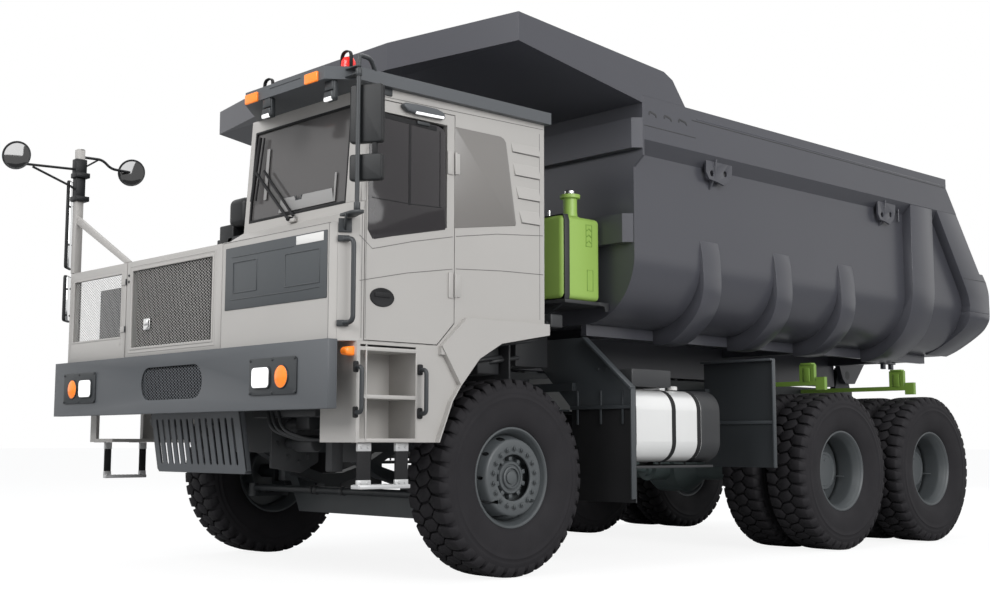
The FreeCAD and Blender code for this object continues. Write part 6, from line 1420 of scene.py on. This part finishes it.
SEAT_FRONT, SEAT_REAR = seat_low.y, seat_high.y
stuffed("seat_cushion", (seat_low.x, SEAT_FRONT + 0.005, cushion_top - 0.15),
        (seat_high.x, SEAT_REAR - 0.10, cushion_top), 0.006)
stuffed("seat_back", (seat_low.x + 0.02, SEAT_REAR - 0.145, cushion_top + 0.02),
        (seat_high.x - 0.02, SEAT_REAR - 0.005, seat_high.z - 0.20), 0.006)
stuffed("seat_headrest", (MIDDLE - 0.15, SEAT_REAR - 0.115, seat_high.z - 0.19),
        (MIDDLE + 0.15, SEAT_REAR - 0.02, seat_high.z), 0.0)
below = [block("seat_pedestal", (MIDDLE - 0.17, SEAT_FRONT + 0.10, seat_low.z),
               (MIDDLE + 0.17, SEAT_REAR - 0.12, seat_low.z + 0.05),
               0.008),
         block("seat_bellows", (MIDDLE - 0.14, SEAT_FRONT + 0.13, seat_low.z + 0.04),
               (MIDDLE + 0.14, SEAT_REAR - 0.15, cushion_top - 0.17), 0.030, 3),
         block("seat_pan", (MIDDLE - 0.24, SEAT_FRONT + 0.03, cushion_top - 0.175),
               (MIDDLE + 0.24, SEAT_REAR - 0.10, cushion_top - 0.145), 0.010, 3),
         block("seat_frame", (MIDDLE - 0.20, SEAT_REAR - 0.05, cushion_top - 0.17),
               (MIDDLE + 0.20, SEAT_REAR - 0.002, seat_high.z - 0.22),
               0.012, 3)]
assemble("seat_base", "chassis", rubber, below, "driver_seat")

# ---------------------------------------------------------------- floor, light and camera

bpy.ops.mesh.primitive_plane_add(size=400, location=(0, 0, 0))
floor = settled("floor")
pale = bpy.data.materials.new("pale_floor")
pale.use_nodes = True
nodes, link = pale.node_tree.nodes, pale.node_tree.links.new
nodes["Principled BSDF"].inputs["Roughness"].default_value = 0.9
white = nodes.new("ShaderNodeEmission")
white.inputs["Strength"].default_value = 1.10
eye = nodes.new("ShaderNodeLightPath")
tone = nodes.new("ShaderNodeMix")
tone.data_type = "RGBA"
tone.inputs["A"].default_value = (0.42, 0.42, 0.42, 1)
tone.inputs["B"].default_value = (0.84, 0.84, 0.84, 1)
link(eye.outputs["Is Camera Ray"], tone.inputs["Factor"])
link(tone.outputs["Result"], nodes["Principled BSDF"].inputs["Base Color"])
share = nodes.new("ShaderNodeMath")
share.operation = "MULTIPLY"
share.inputs[1].default_value = 0.80
mixed = nodes.new("ShaderNodeMixShader")
link(eye.outputs["Is Camera Ray"], share.inputs[0])
link(share.outputs["Value"], mixed.inputs["Fac"])
link(nodes["Principled BSDF"].outputs["BSDF"], mixed.inputs[1])
link(white.outputs["Emission"], mixed.inputs[2])
link(mixed.outputs["Shader"], nodes["Material Output"].inputs["Surface"])
floor.data.materials.append(pale)

world = bpy.data.worlds.new("studio")
bpy.context.scene.world = world
world.use_nodes = True
nodes, link = world.node_tree.nodes, world.node_tree.links.new
room = nodes["Background"]
room.inputs["Color"].default_value = (0.93, 0.96, 1.0, 1)
room.inputs["Strength"].default_value = 0.48
backdrop = nodes.new("ShaderNodeBackground")
backdrop.inputs["Color"].default_value = (1, 1, 1, 1)
backdrop.inputs["Strength"].default_value = 1.0
seen = nodes.new("ShaderNodeLightPath")
direct = nodes.new("ShaderNodeMath")
direct.operation = "ADD"
direct.use_clamp = True
either = nodes.new("ShaderNodeMath")
either.operation = "ADD"
either.use_clamp = True
mixed = nodes.new("ShaderNodeMixShader")
link(seen.outputs["Is Camera Ray"], direct.inputs[0])
link(seen.outputs["Is Transmission Ray"], direct.inputs[1])
link(direct.outputs["Value"], either.inputs[0])
link(seen.outputs["Is Glossy Ray"], either.inputs[1])
link(either.outputs["Value"], mixed.inputs["Fac"])
link(room.outputs["Background"], mixed.inputs[1])
link(backdrop.outputs["Background"], mixed.inputs[2])
link(mixed.outputs["Shader"], nodes["World Output"].inputs["Surface"])


def softbox(name, place, aim, size, power):
    """A square area lamp that faces a point."""
    lamp = bpy.data.lights.new(name, "AREA")
    lamp.shape, lamp.size, lamp.energy = "SQUARE", size, power
    holder = bpy.data.objects.new(name, lamp)
    bpy.context.scene.collection.objects.link(holder)
    holder.location = place
    holder.rotation_euler = (Vector(aim) - Vector(place)).to_track_quat("-Z", "Y").to_euler()


softbox("key", (2.0, -14.0, 9.0), (0, -2, 2), 7.0, 1150)
softbox("side", (14.0, -3.0, 7.0), (0, 0, 2), 8.0, 1150)
softbox("rear", (-9.0, 15.0, 8.0), (0, 2, 2), 8.0, 600)
softbox("top", (0.0, 2.0, 14.0), (0, 0, 2), 10.0, 650)

view = bpy.data.cameras.new("view")
view.sensor_width = 36.0
view.lens = 47.79
view.clip_end = 500
camera = bpy.data.objects.new("view", view)
bpy.context.scene.collection.objects.link(camera)
camera.location = (8.956, -9.278, 1.009)
camera.rotation_euler = (math.radians(90 + 6.41), math.radians(-0.08), math.radians(46.70))
bpy.context.scene.camera = camera
bpy.context.scene.view_settings.view_transform = "Standard"
